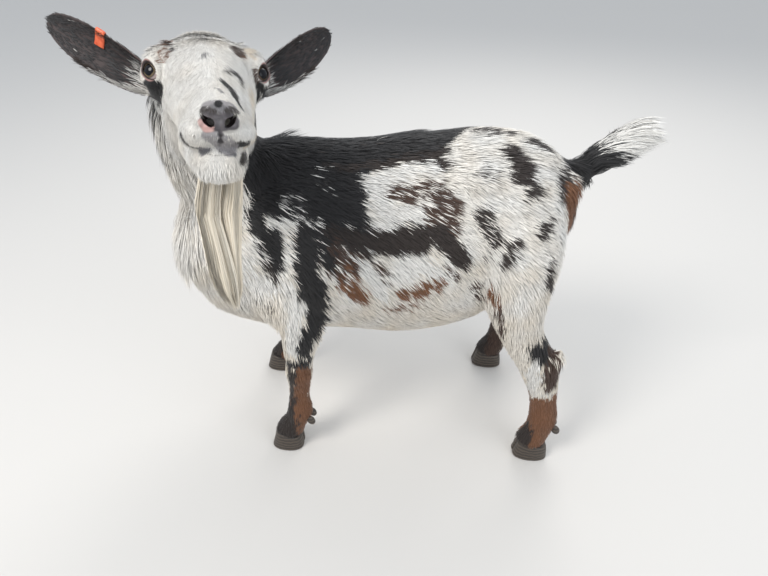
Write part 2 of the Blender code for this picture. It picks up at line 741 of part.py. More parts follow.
def ear_tag(name, group, place):
    """A strip folded over the upper edge of the right ear."""
    side = -1
    points, faces = [], []
    us = (TAG_FROM, TAG_TO)
    vs = [TAG_INNER_END + (1 - TAG_INNER_END) * k / 3 for k in range(4)]
    for u in us:
        inner, outer = [], []
        for v in vs:
            low, high = ear_surface(side, u, -v, 0), ear_surface(side, u, -v, 1)
            apart = (high - low).normalized()
            inner.append((high + apart * TAG_CLEAR, high + apart * (TAG_CLEAR + TAG_THICKNESS)))
            outer.append((low - apart * TAG_CLEAR, low - apart * (TAG_CLEAR + TAG_THICKNESS)))
        edge = (ear_surface(side, u, -1, 0) + ear_surface(side, u, -1, 1)) / 2
        before = (ear_surface(side, u, -0.9, 0) + ear_surface(side, u, -0.9, 1)) / 2
        beyond = (edge - before).normalized()
        turn = [(edge + beyond * TAG_CLEAR * 2, edge + beyond * (TAG_CLEAR * 2 + TAG_THICKNESS))]
        path = inner + turn + outer[::-1]
        points += [pair[0] for pair in path] + [pair[1] for pair in path[::-1]]
    ring = len(points) // len(us)
    for i in range(len(us) - 1):
        for j in range(ring):
            k = (j + 1) % ring
            faces.append((ring * i + j, ring * i + k, ring * i + ring + k, ring * i + ring + j))
    for row, flip in ((0, 1), (len(us) - 1, 0)):
        for j in range(ring // 2 - 1):
            a, b = ring * row + j, ring * row + j + 1
            c, d = ring * row + ring - 2 - j, ring * row + ring - 1 - j
            faces.append((a, d, c, b) if flip else (a, b, c, d))
    obj = mesh_object(name, points, faces, group)
    tidy_normals(obj.data)
    obj.data.transform(place)
    return obj


# Hooves

def claw(name, group, toe_x, heel_x, middle_y, side, low_slit):
    """Half a hoof: a flat sole on the floor, a wall that narrows upward and a sloping top."""
    levels = (
        # share of the height, toe drawn back, heel drawn in, half width
        (0.00, 0.0022, 0.0014, 0.0205),
        (0.05, 0.0000, 0.0000, 0.0222),
        (0.55, 0.0052, 0.0008, 0.0212),
        (0.90, 0.0092, 0.0020, 0.0196),
        (1.00, 0.0110, 0.0034, 0.0182),
    )
    around = 9
    points, faces = [], []
    for share, toe_in, heel_in, wide in levels:
        toe, heel = toe_x + toe_in, heel_x - heel_in
        slit = low_slit * (1 - 0.45 * share)
        for i in range(around + 1):
            angle = math.pi * i / around
            x = (toe + heel) / 2 - (heel - toe) / 2 * math.cos(angle)
            bulge = math.sin(angle) ** 0.62 * (1 - 0.10 * math.cos(angle))
            y = middle_y + side * (slit + (wide - slit) * bulge + 0.0006)
            top = coronet_height(x, toe_x) - GAP
            points.append((x, y, share * top))
        x_mid = (toe + heel) / 2
        points.append((x_mid, middle_y + side * slit, share * (coronet_height(x_mid, toe_x) - GAP)))
    ring = around + 2
    for i in range(len(levels) - 1):
        for j in range(ring):
            k = (j + 1) % ring
            faces.append((ring * i + j, ring * i + k, ring * i + ring + k, ring * i + ring + j))
    faces.append(tuple(range(ring))[::-1])
    faces.append(tuple(ring * (len(levels) - 1) + j for j in range(ring)))
    obj = mesh_object(name, points, faces, group)
    tidy_normals(obj.data)
    return obj


def coronet_height(x, toe_x):
    """The height of the sloping plane where the hoof meets the skin."""
    return CORONET_HEIGHT - CORONET_SLOPE * (x - toe_x - 0.012)


def hoof_block(name, toe_x, middle_y, grow, group):
    """What lies under the coronet plane, to cut the leg off the hoof."""
    point = (toe_x, middle_y, coronet_height(toe_x, toe_x) + grow)
    return half_space(name, point, (-CORONET_SLOPE, 0, -1), group, reach=0.3)


# Long hair

def beard_locks(core_group, group, place, draw):
    """Locks in layers from the underside of the chin, and the core that joins them half way down."""
    across = (place.to_3x3() @ Vector((0, 1, 0))).normalized()
    facing = (place.to_3x3() @ Vector((1, 0, 0))).normalized()
    root = place @ Vector((0.066, 0, -0.070))
    rows = ((*root, 0.0190, 0.0100),
            (root.x, root.y, root.z - 0.035, 0.0170, 0.0080),
            (root.x, root.y, root.z - 0.070, 0.0110, 0.0050),
            (root.x, root.y, root.z - 0.088, 0.0040, 0.0025))
    core = loft("beard", rows, core_group, sides=across, steps=2, around=10)
    fall = root.z - BEARD_TIP_HEIGHT
    for layer in range(BEARD_LAYERS):
        back = 2 * layer / (BEARD_LAYERS - 1) - 1
        count = BEARD_LOCKS - layer
        for i in range(count):
            s = (i + 0.5) / count * 2 - 1 + draw.uniform(-0.05, 0.05)
            start = place @ Vector((0.066 - 0.0055 * back, s * 0.0155, -0.0840))
            reach = (fall - 0.014) * (1 - 0.28 * abs(s) ** 1.6 - 0.07 * (back + 1))
            reach *= draw.uniform(0.90, 1.0)
            flow = Vector((0, 0, -1)) + across * (s * 0.24) - facing * (0.10 * back)
            droop = Vector((0, 0, -1)) - across * (s * 0.24 + BEARD_DRIFT) + facing * (0.07 * back)
            turn = facing + across * draw.uniform(-0.5, 0.5)
            lock("lock", start, flow, reach, BEARD_LOCK_WIDTH * draw.uniform(0.85, 1.15), turn, group,
                 droop=droop, bend=1.0, steps=6)
    return core


def ruff_locks(surface, group, draw):
    """Locks in tiers round the front and sides of the neck, hanging down and lying over one another."""
    tree = BVHTree.FromPolygons([v.co for v in surface.data.vertices],
                                [p.vertices for p in surface.data.polygons])
    for tier in range(RUFF_TIERS):
        t = tier / (RUFF_TIERS - 1)
        row = neck_row(RUFF_FROM + (RUFF_TO - RUFF_FROM) * t)
        middle, side = Vector(row[:3]), Vector((row[5], row[6], 0)).normalized()
        front = Vector((side.y, -side.x, 0))
        count = RUFF_LOCKS - tier % 2
        for i in range(count):
            angle = math.radians(RUFF_SPREAD) * ((i + 0.5) / count * 2 - 1) + draw.uniform(-0.06, 0.06)
            outward = front * math.cos(angle) + side * math.sin(angle)
            hit, normal, _, _ = tree.ray_cast(middle, outward + Vector((0, 0, -0.15)))
            if hit is None or normal.z < RUFF_STEEPEST:
                continue
            if (hit - Vector(NECK_CUT)).dot(Vector(NECK_CUT_NORMAL)) < 0:
                continue
            down = Vector((0, 0, -1))
            down = (down - normal * down.dot(normal)).normalized()
            flow = down + normal * draw.uniform(0.26, 0.36)
            droop = down.lerp(Vector((0, 0, -1)), 0.25) + normal * draw.uniform(0.02, 0.10)
            length = RUFF_LENGTH * (1.12 - 0.28 * abs(angle)) * draw.uniform(0.85, 1.1)
            lock("lock", hit - normal * RUFF_SUNK, flow, length, RUFF_LOCK_WIDTH * draw.uniform(0.85, 1.15),
                 normal, group, droop=droop, bend=1.0, steps=4)


def neck_row(t):
    """The neck's row at share t of its length: middle, half sizes and side direction."""
    table = np.hstack([np.array(NECK_ROWS), np.array(NECK_SIDES)])
    place = t * (len(table) - 1)
    low = min(int(place), len(table) - 2)
    return table[low] + (table[low + 1] - table[low]) * (place - low)


def tail_locks(group, draw):
    """Locks along the dock that fan out past its end, from straight back to straight up."""
    base, end = Vector(DOCK_ROWS[1][:3]), Vector(DOCK_ROWS[-1][:3])
    along = (end - base).normalized()
    for i in range(TAIL_LOCKS):
        t = (i + 0.5) / TAIL_LOCKS
        turn = i * GOLDEN_TURN
        aside = Vector((0, 1, 0)) * math.cos(turn) + Vector((-along.z, 0, along.x)) * math.sin(turn)
        root = base.lerp(end, 0.30 + 0.66 * t)
        flow = along + aside * draw.uniform(0.36, 0.48)
        lock("lock", root, flow, TAIL_LENGTH * (0.62 + 0.38 * t) * draw.uniform(0.9, 1.05),
             TAIL_LOCK_WIDTH, aside, group, droop=along + Vector((0, 0, 0.35)), bend=1.0)
    for i in range(TAIL_FAN):
        s = (i + 0.5) / TAIL_FAN * 2 - 1
        angle = math.radians(TAIL_FAN_MIDDLE + s * TAIL_FAN_SPREAD)
        flow = Vector((math.cos(angle), draw.uniform(-0.25, 0.25), math.sin(angle)))
        length = TAIL_LENGTH * (1.0 - 0.42 * max(s, 0) - 0.15 * max(-s, 0)) * draw.uniform(0.95, 1.0)
        lock("lock", base.lerp(end, 0.88), flow, length, TAIL_LOCK_WIDTH, (0, 1, 0.2 * s), group,
             droop=(0.55, 0, 0.85), bend=0.5)


def poll_locks(surface, group, place, draw):
    """Short locks between the ears and over the forehead, lying forward and to the sides."""
    tree = BVHTree.FromPolygons([v.co for v in surface.data.vertices],
                                [p.vertices for p in surface.data.polygons])
    turn = place.to_3x3()
    for row in range(2):
        for i in range(POLL_LOCKS):
            s = (i + 0.5 + 0.5 * row) / (POLL_LOCKS + 0.5) * 2 - 1
            start = place @ Vector((-0.058 + 0.026 * row, s * 0.034, 0.2))
            hit, normal, _, _ = tree.ray_cast(start, turn @ Vector((0, 0, -1)))
            if hit is None:
                continue
            flow = turn @ Vector((0.8 - 0.5 * abs(s), s * 1.1, 0)) + normal * draw.uniform(0.24, 0.38)
            droop = turn @ Vector((1.0 - 0.5 * abs(s), s * 1.2, -0.15))
            lock("lock", hit - normal * 0.004, flow, POLL_LENGTH * draw.uniform(0.85, 1.15),
                 POLL_LOCK_WIDTH, normal, group, droop=droop, bend=1.0, steps=3)


def feet():
    """Each foot's name, side, hoof middle, toe and heel."""
    spans = (("fore", FORE_SPREAD, FORE_TOE, FORE_HEEL, FAR_FORE_STEP),
             ("hind", HIND_SPREAD, HIND_TOE, HIND_HEEL, FAR_HIND_STEP))
    for end, spread, toe, heel, far_step in spans:
        for word, side, step in (("left", -1, 0.0), ("right", 1, far_step)):
            yield end, word, side, side * spread, toe + step, heel + step


def leg_cut(end, side, grow, group):
    """The block that parts a leg from the torso."""
    if end == "fore":
        reach = FORE_BLOCK_LEFT if side < 0 else FORE_BLOCK_RIGHT
        return leg_block("fore_block", side, reach, FORE_BLOCK_INNER, FORE_BLOCK_OUTER, grow, group)
    return leg_block("hind_block", side, HIND_BLOCK, HIND_BLOCK_INNER, HIND_BLOCK_OUTER, grow, group)


def main():
    clear_scene()
    goat = collection("nigerian_dwarf_goat")
    cutters = collection("cutters")
    masses = collection("masses")
    place = head_frame()
    draw = random.Random(LOCK_SEED)

    neck(masses)
    skull(masses, place)
    head_flesh = fused("head", list(masses.objects), goat, HEAD_VOXEL, HEAD_SOFTNESS, HEAD_TRIANGLES)

    trunk(masses)
    neck(masses)
    skull(masses, place)
    for side, step_fore, step_hind in ((-1, 0.0, 0.0), (1, FAR_FORE_STEP, FAR_HIND_STEP)):
        fore_leg(masses, side, step_fore)
        hind_leg(masses, side, step_hind)
    dock(masses)
    flesh = fused("torso", list(masses.objects), goat, BODY_VOXEL, BODY_SOFTNESS, BODY_TRIANGLES)

    half = GAP / 2
    neck_normal = Vector(NECK_CUT_NORMAL).normalized()
    neck_point = Vector(NECK_CUT)
    head_normal = (place.to_3x3() @ Vector(HEAD_CUT_NORMAL)).normalized()
    head_point = place @ Vector(HEAD_CUT)
    tail_normal = Vector(TAIL_CUT_NORMAL).normalized()
    tail_point = Vector(TAIL_CUT)

    def beyond(point, normal, gap, reach=0.6):
        return half_space("beyond", point + normal * gap, normal, cutters, reach)

    neck_piece = copy_of(flesh, "neck", goat)
    combine(neck_piece, "INTERSECT", beyond(neck_point, neck_normal, half))
    combine(neck_piece, "DIFFERENCE", beyond(head_point, head_normal, -half))
    ruff_locks(neck_piece, masses, draw)
    combine(neck_piece, "UNION", masses)

    tail = copy_of(flesh, "tail", goat)
    combine(tail, "INTERSECT", beyond(tail_point, tail_normal, half, 0.2))
    tail_locks(masses, draw)
    combine(tail, "UNION", masses)
    combine(tail, "INTERSECT", beyond(tail_point, tail_normal, half, 0.2))

    for end, word, side, middle, toe, heel in feet():
        leg = copy_of(flesh, f"{end}_leg_{word}", goat)
        combine(leg, "INTERSECT", leg_cut(end, side, 0.0, cutters))
        combine(leg, "DIFFERENCE", hoof_block("coronet", toe, middle, 0.0, cutters))
        for place_name, way in (("outer", side), ("inner", -side)):
            claw(f"{end}_{word}_claw_{place_name}", goat, toe, heel, middle, way, CLAW_SLIT)
            beside = middle + way * DEWCLAW_APART
            dewclaw_form(f"{end}_{word}_dewclaw_{place_name}", goat, end, beside, toe, 0.0)
            combine(leg, "DIFFERENCE", dewclaw_form("seat", cutters, end, beside, toe, GAP))

    combine(flesh, "DIFFERENCE", beyond(neck_point, neck_normal, -half))
    combine(flesh, "DIFFERENCE", beyond(tail_point, tail_normal, -half, 0.2))
    for end, word, side, middle, toe, heel in feet():
        combine(flesh, "DIFFERENCE", leg_cut(end, side, GAP, cutters))

    combine(head_flesh, "INTERSECT", beyond(head_point, head_normal, half, 0.4))
    for side in (-1, 1):
        combine(head_flesh, "UNION", ball("lids", EYE_RADIUS + LID_THICKNESS, masses, side, place))
    for side in (-1, 1):
        combine(head_flesh, "DIFFERENCE", lid_opening(side, cutters, place))
        combine(head_flesh, "DIFFERENCE", ball("socket", EYE_RADIUS + SOCKET_CLEAR, cutters, side, place))
        for hole in nostril(side, cutters, place):
            combine(head_flesh, "DIFFERENCE", hole)
    combine(head_flesh, "DIFFERENCE", mouth_line(cutters, place))
    poll_locks(head_flesh, masses, place, draw)
    combine(head_flesh, "UNION", masses)
    combine(neck_piece, "DIFFERENCE", copy_of(head_flesh, "grown", cutters, CLEAR))
    combine(neck_piece, "DIFFERENCE", copy_of(flesh, "grown", cutters, CLEAR))

    for side, word in ((1, "left"), (-1, "right")):
        ball(f"eye_{word}", EYE_RADIUS, goat, side, place)
        one = ear(f"ear_{word}", side, goat, place)
        combine(one, "DIFFERENCE", copy_of(head_flesh, "grown", cutters, GAP))
    ear_tag("ear_tag", goat, place)
    beard = beard_locks(goat, masses, place, draw)
    combine(beard, "UNION", masses)
    combine(beard, "DIFFERENCE", copy_of(head_flesh, "grown", cutters, GAP))

    paint(goat)
    settle(goat)
    for group in (masses, cutters):
        bpy.data.collections.remove(group)


def dewclaw_form(name, group, end, middle, toe, grow):
    """A small horn half sunk in the back of the fetlock."""
    behind = DEWCLAW_BEHIND[end]
    edit = bmesh.new()
    bmesh.ops.create_uvsphere(edit, u_segments=6, v_segments=5, radius=1.0)
    mesh = bpy.data.meshes.new(name)
    edit.to_mesh(mesh)
    edit.free()
    radii = [size + grow for size in DEWCLAW_SIZE]
    mesh.transform(Matrix.Translation((toe + behind, middle, DEWCLAW_HEIGHT))
                   @ Matrix.Rotation(math.radians(-28), 4, "Y") @ Matrix.Diagonal((*radii, 1.0)))
    return link(bpy.data.objects.new(name, mesh), group)


def paint(goat):
    """Gives each node its own material."""
    hair = (0.72, 0.69, 0.64)
    dark = (0.055, 0.042, 0.036)
    for obj in goat.objects:
        name = obj.name
        colour, roughness = hair, 0.85
        if "claw" in name:
            colour, roughness = (0.045, 0.035, 0.030), 0.55
        elif name.startswith("eye"):
            colour, roughness = (0.30, 0.20, 0.09), 0.08
        elif name == "ear_tag":
            colour, roughness = (0.80, 0.16, 0.08), 0.45
        elif name.startswith("ear"):
            colour, roughness = dark, 0.85
        elif name == "tail":
            colour = (0.30, 0.27, 0.24)
        elif name == "beard":
            colour = (0.74, 0.66, 0.50)
        elif "leg" in name:
            colour = (0.30, 0.15, 0.08)
        obj.data.materials.clear()
        obj.data.materials.append(material(name, colour, roughness))


def settle(goat):
    """Moves everything so that the origin is the bottom centre of the box, and names the meshes."""
    corners = np.array([vertex.co[:] for obj in goat.objects for vertex in obj.data.vertices])
    low, high = corners.min(axis=0), corners.max(axis=0)
    shift = Vector((-(low[0] + high[0]) / 2, -(low[1] + high[1]) / 2, -low[2]))
    for obj in goat.objects:
        obj.data.transform(Matrix.Translation(shift))
        obj.data.name = obj.name


main()
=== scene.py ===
"""The looks of a Nigerian dwarf goat: one skin, its coat in tufts, eyes, hooves and the ear tag.

The shapes are the same named masses as the solids, made finer, so that the skin lies inside them by
the coat's depth. Everything is worked out in the goat's own frame, where it faces -X with its left
side on -Y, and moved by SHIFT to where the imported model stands.
"""

import math

import bmesh
import bpy
import numpy as np
from mathutils.bvhtree import BVHTree
from mathutils import Matrix, Vector


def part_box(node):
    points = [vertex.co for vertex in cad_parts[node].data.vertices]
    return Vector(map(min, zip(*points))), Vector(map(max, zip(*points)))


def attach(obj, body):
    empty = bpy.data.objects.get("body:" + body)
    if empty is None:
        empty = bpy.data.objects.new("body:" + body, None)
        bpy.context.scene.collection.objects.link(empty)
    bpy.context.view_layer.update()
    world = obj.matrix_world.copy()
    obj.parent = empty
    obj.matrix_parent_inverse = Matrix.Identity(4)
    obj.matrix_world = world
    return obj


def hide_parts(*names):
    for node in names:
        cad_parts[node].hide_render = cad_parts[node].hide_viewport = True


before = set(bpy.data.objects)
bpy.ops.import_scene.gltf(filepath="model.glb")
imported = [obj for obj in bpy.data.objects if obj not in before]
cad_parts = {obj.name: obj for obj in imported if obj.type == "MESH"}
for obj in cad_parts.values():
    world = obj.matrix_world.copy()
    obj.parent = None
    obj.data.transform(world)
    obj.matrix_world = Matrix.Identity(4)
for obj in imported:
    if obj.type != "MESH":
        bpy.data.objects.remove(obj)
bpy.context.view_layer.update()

SEED = 11
SIDES = ((-1, "right"), (1, "left"))    # of the head
SKIN_VOXEL = 0.0017
SKIN_TRIANGLES = 190000
SMOOTH_ROUNDS = 52          # over the trunk and legs
HEAD_SMOOTH_ROUNDS = 14

# Trunk, at the tips of the coat
WITHERS_TOP = 0.516
CROUP_TOP = 0.533
BELLY_BOTTOM = 0.208
BARREL_HALF_WIDTH = 0.128

NECK_ROWS = (
    # x, y, z, half width, half depth
    (-0.150, 0.000, 0.400, 0.072, 0.085),
    (-0.213, 0.000, 0.430, 0.064, 0.088),
    (-0.250, -0.015, 0.485, 0.052, 0.068),
    (-0.258, -0.043, 0.540, 0.050, 0.055),
    (-0.244, -0.074, 0.590, 0.053, 0.052),
    (-0.226, -0.100, 0.622, 0.046, 0.045),
)
NECK_SIDES = ((0, -1, 0), (0, -1, 0), (0.3, -0.95, 0), (0.7, -0.7, 0), (0.9, -0.2, 0), (0.93, 0.2, 0))
DOCK_ROWS = (
    (0.225, 0, 0.452, 0.022, 0.026),
    (0.258, 0, 0.463, 0.0190, 0.0230),
    (0.284, 0, 0.484, 0.0150, 0.0180),
    (0.302, 0, 0.506, 0.0095, 0.0110),
)

# Head, in its own frame: X to the nose, Y to its left, Z up, origin between the eyes
HEAD_ORIGIN = Vector((-0.201, -0.150, 0.632))
HEAD_SCALE = 1.05
HEAD_HEADING = math.radians(22.0)
HEAD_RISE = math.radians(19.5)
HEAD_LEAN = math.radians(-7.0)
EYE_PLACE = (0.002, 0.0485, 0.0045)
EYE_AXIS = (0.82, 0.54, 0.19)
EYE_RADIUS = 0.0120
SOCKET_CLEAR = 0.00048
LID_THICKNESS = 0.0018
LID_HALF_WIDTH = 0.0112
LID_HALF_HEIGHT = 0.0067
MOUTH_DEPTH = 0.011
MOUTH_OPENING = 0.0018
EAR_BASE = (-0.050, 0.048, -0.001)
EAR_REACH = (-0.036, 0.103, 0.067)
EAR_DROOP = -0.005
EAR_ROOT_HALF = 0.0175
EAR_HALF_WIDTH = 0.0240
EAR_THICKNESS = 0.0028

# Legs
FORE_SPREAD = 0.100
HIND_SPREAD = 0.115
FAR_FORE_STEP = -0.046
FAR_HIND_STEP = -0.046
CORONET_HEIGHT = 0.036
CORONET_SLOPE = 0.26
FORE_TOE, FORE_HEEL = -0.214, -0.160
HIND_TOE, HIND_HEEL = 0.199, 0.256
CLAW_SLIT = 0.0014
DEWCLAW_APART = 0.0095
DEWCLAW_HEIGHT = 0.064
DEWCLAW_BEHIND = {"fore": 0.0715, "hind": 0.0630}
DEWCLAW_SIZE = (0.0065, 0.0055, 0.0095)
TAG_FROM = 6 / 12
TAG_TO = 7 / 12
TAG_INNER_END = 0.25
TAG_CLEAR = 0.0006
TAG_THICKNESS = 0.0012

# Long hair
BODY_DENSITY = 132000.0
NECK_DENSITY = 130000.0
LEG_DENSITY = 130000.0
TAIL_DENSITY = 170000.0
HEAD_DENSITY = 950000.0
JOWL_DENSITY = 420000.0
BEARD_TUFTS = 1250
BEARD_ROOT = ((0.086, -0.076), (0.050, -0.083))    # along the chin, in the head: x, z
BEARD_HALF = 0.0200
BEARD_Y = -0.2420
BEARD_PALE = (0.87, 0.81, 0.69)
BEARD_TAN = (0.76, 0.63, 0.45)
BEARD_RIGHT = (
    # height, middle, half width
    (0.5694, -0.1905, 0.0126),
    (0.5477, -0.1936, 0.0123),
    (0.5261, -0.1950, 0.0126),
    (0.4976, -0.1933, 0.0135),
    (0.4675, -0.1921, 0.0150),
    (0.4357, -0.1913, 0.0154),
    (0.4092, -0.1887, 0.0093),
    (0.3933, -0.1854, 0.0024),
)
BEARD_LEFT = (
    (0.5694, -0.1654, 0.0125),
    (0.5477, -0.1690, 0.0123),
    (0.5262, -0.1725, 0.0120),
    (0.4977, -0.1739, 0.0081),
    (0.4676, -0.1755, 0.0055),
    (0.4358, -0.1776, 0.0043),
    (0.4092, -0.1806, 0.0029),
)
EAR_FRINGE = 420
TAIL_TUFTS = 2400
TAIL_LENGTH = 0.063

# Camera, set by matching the photograph
CAMERA_PLACE = (0.004, -0.778, 0.800)
CAMERA_PITCH = math.radians(34.8)
CAMERA_YAW = math.radians(-1.8)
CAMERA_ROLL = math.radians(-0.7)
CAMERA_FOCUS = 578       # pixels of a frame 768 wide


# Mesh tools

def link(obj):
    bpy.context.scene.collection.objects.link(obj)
    return obj


def mesh_object(name, points, faces):
    mesh = bpy.data.meshes.new(name)
    mesh.from_pydata([tuple(p) for p in points], [], faces)
    mesh.update()
    return link(bpy.data.objects.new(name, mesh))


def closed_body(name, points, faces, place=None):
    """A mesh object with its faces turned outward, moved by the matrix place."""
    obj = mesh_object(name, points, faces)
    edit = bmesh.new()
    edit.from_mesh(obj.data)
    bmesh.ops.recalc_face_normals(edit, faces=edit.faces)
    edit.to_mesh(obj.data)
    edit.free()
    if place is not None:
        obj.data.transform(place)
    return obj


def ball_mesh(name, segments, rings, radius, place):
    """A sphere moved by the matrix place."""
    edit = bmesh.new()
    bmesh.ops.create_uvsphere(edit, u_segments=segments, v_segments=rings, radius=radius)
    mesh = bpy.data.meshes.new(name)
    edit.to_mesh(mesh)
    edit.free()
    mesh.transform(place)
    return link(bpy.data.objects.new(name, mesh))


def tube_faces(rows, ring, capped=True):
    """The quads between rows of ring points each, and the caps of the first and last row."""
    faces = []
    for i in range(rows - 1):
        for j in range(ring):
            k = (j + 1) % ring
            faces.append((ring * i + j, ring * i + k, ring * i + ring + k, ring * i + ring + j))
    if capped:
        faces.append(tuple(range(ring))[::-1])
        faces.append(tuple(ring * (rows - 1) + j for j in range(ring)))
    return faces


def spline(rows, steps):
    """A Catmull-Rom curve through the rows, with steps points to each stretch."""
    rows = np.array(rows, float)
    padded = np.vstack([2 * rows[0] - rows[1], rows, 2 * rows[-1] - rows[-2]])
    found = []
    for i in range(len(rows) - 1):
        a, b, c, d = padded[i:i + 4]
        for t in np.linspace(0, 1, steps, endpoint=False):
            found.append(0.5 * (2 * b + (c - a) * t + (2 * a - 5 * b + 4 * c - d) * t**2
                                + (3 * b - a - 3 * c + d) * t**3))
    found.append(rows[-1])
    return np.array(found)


def loft(name, rows, sides=(0, 1, 0), steps=5, around=24, pinch=0.0, place=None):
    """A closed tube through rows of (x, y, z, half width, half depth)."""
    sides = np.array(sides, float)
    if sides.ndim == 1:
        sides = np.tile(sides, (len(rows), 1))
    pinches = np.full(len(rows), pinch) if np.isscalar(pinch) else np.array(pinch)
    table = spline(np.hstack([np.array(rows, float), sides, pinches[:, None]]), steps)
    tangents = np.gradient(table[:, :3], axis=0)
    points = []
    turn = np.linspace(0, 2 * math.pi, around, endpoint=False)
    before = Vector((-0.01, 0, 1))
    for row, tangent in zip(table, tangents):
        along = Vector(tangent).normalized()
        side = Vector(row[5:8])
        side = (side - along * side.dot(along)).normalized()
        up = along.cross(side)
        if up.dot(before) < 0:
            up = -up
        before = up
        width, depth = max(row[3], 1e-4), max(row[4], 1e-4)
        for angle in turn:
            across = width * math.cos(angle) * (1 - row[8] * math.sin(angle))
            points.append(Vector(row[:3]) + side * across + up * depth * math.sin(angle))
    return closed_body(name, points, tube_faces(len(table), around), place)


def mass(name, centre, radii, turn=(0, 0, 0), place=None, detail=32):
    """A rounded mass: a sphere scaled to radii, turned by Euler angles in degrees."""
    matrix = Matrix.Translation(centre)
    for axis, angle in zip("XYZ", turn):
        matrix = matrix @ Matrix.Rotation(math.radians(angle), 4, axis)
    matrix = matrix @ Matrix.Diagonal((*radii, 1.0))
    if place is not None:
        matrix = place @ matrix
    return ball_mesh(name, detail, detail // 2, 1.0, matrix)


def both_sides(centre):
    """The centre and its mirror image, with the side's sign: left is -1 on the body."""
    x, y, z = centre
    return (((x, -y, z), -1), ((x, y, z), 1))


def head_frame():
    """The matrix from the head's own frame to the goat's."""
    forward = Vector((math.sin(HEAD_HEADING) * math.cos(HEAD_RISE),
                      -math.cos(HEAD_HEADING) * math.cos(HEAD_RISE), math.sin(HEAD_RISE)))
    level = Vector((0, 0, 1)).cross(forward).normalized()
    upright = forward.cross(level)
    left = level * math.cos(HEAD_LEAN) + upright * math.sin(HEAD_LEAN)
    up = forward.cross(left)
    turn = Matrix((forward, left, up)).transposed().to_4x4()
    return Matrix.Translation(HEAD_ORIGIN) @ turn @ Matrix.Scale(HEAD_SCALE, 4)


HEAD = head_frame()
HEAD_BACK = HEAD.inverted()
eye_low, eye_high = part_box("eye_left")
SHIFT = (Vector(eye_low) + Vector(eye_high)) / 2 - HEAD @ Vector(EYE_PLACE)


def smoothstep(low, high, value):
    t = np.clip((np.asarray(value, float) - low) / (high - low), 0, 1)
    return t * t * (3 - 2 * t)


def unit(vectors):
    return vectors / np.maximum(np.linalg.norm(vectors, axis=-1, keepdims=True), 1e-9)


def to_head(points):
    """Points of the goat's frame in the head's own frame."""
    m = np.array(HEAD_BACK)
    return points @ m[:3, :3].T + m[:3, 3]


def head_direction(vectors):
    """Directions of the head's own frame in the goat's."""
    return vectors @ (np.array(HEAD)[:3, :3].T / HEAD_SCALE)


# Flesh

def trunk():
    sections = (
        # x, top, bottom, half width, pinch
        (-0.334, 0.398, 0.342, 0.012, 0.0),
        (-0.324, 0.430, 0.306, 0.040, 0.0),
        (-0.298, 0.466, 0.264, 0.072, 0.1),
        (-0.250, 0.498, 0.224, 0.094, 0.2),
        (-0.170, WITHERS_TOP, BELLY_BOTTOM, 0.106, 0.28),
        (-0.080, 0.512, BELLY_BOTTOM + 0.004, 0.120, 0.20),
        (0.000, 0.517, BELLY_BOTTOM, BARREL_HALF_WIDTH, 0.16),
        (0.070, 0.528, 0.222, BARREL_HALF_WIDTH - 0.004, 0.12),
        (0.130, CROUP_TOP, 0.262, 0.108, 0.05),
        (0.190, 0.527, 0.305, 0.090, 0.0),
        (0.232, 0.498, 0.350, 0.062, 0.0),
        (0.258, 0.468, 0.388, 0.030, 0.0),
    )
    rows = [(x, 0, (top + low) / 2, wide, (top - low) / 2) for x, top, low, wide, _ in sections]
    made = [loft("trunk", rows, pinch=[s[4] for s in sections], steps=6, around=48)]
    for centre, sign in both_sides((-0.190, 0.068, 0.378)):
        made.append(mass("shoulder", centre, (0.054, 0.036, 0.112), turn=(sign * 8, 30, 0)))
    for centre, sign in both_sides((0.160, 0.058, 0.410)):
        made.append(mass("haunch", centre, (0.076, 0.046, 0.100), turn=(sign * 10, -8, 0)))
    for centre, _ in both_sides((0.104, 0.043, 0.475)):
        made.append(mass("hip", centre, (0.062, 0.044, 0.030)))
    for centre, _ in both_sides((0.224, 0.030, 0.446)):
        made.append(mass("pin_bone", centre, (0.032, 0.024, 0.036)))
    made.append(mass("breast", (-0.276, 0, 0.350), (0.046, 0.062, 0.090)))
    made.append(mass("brisket", (-0.235, 0, 0.262), (0.060, 0.052, 0.050), turn=(0, 15, 0)))
    return made


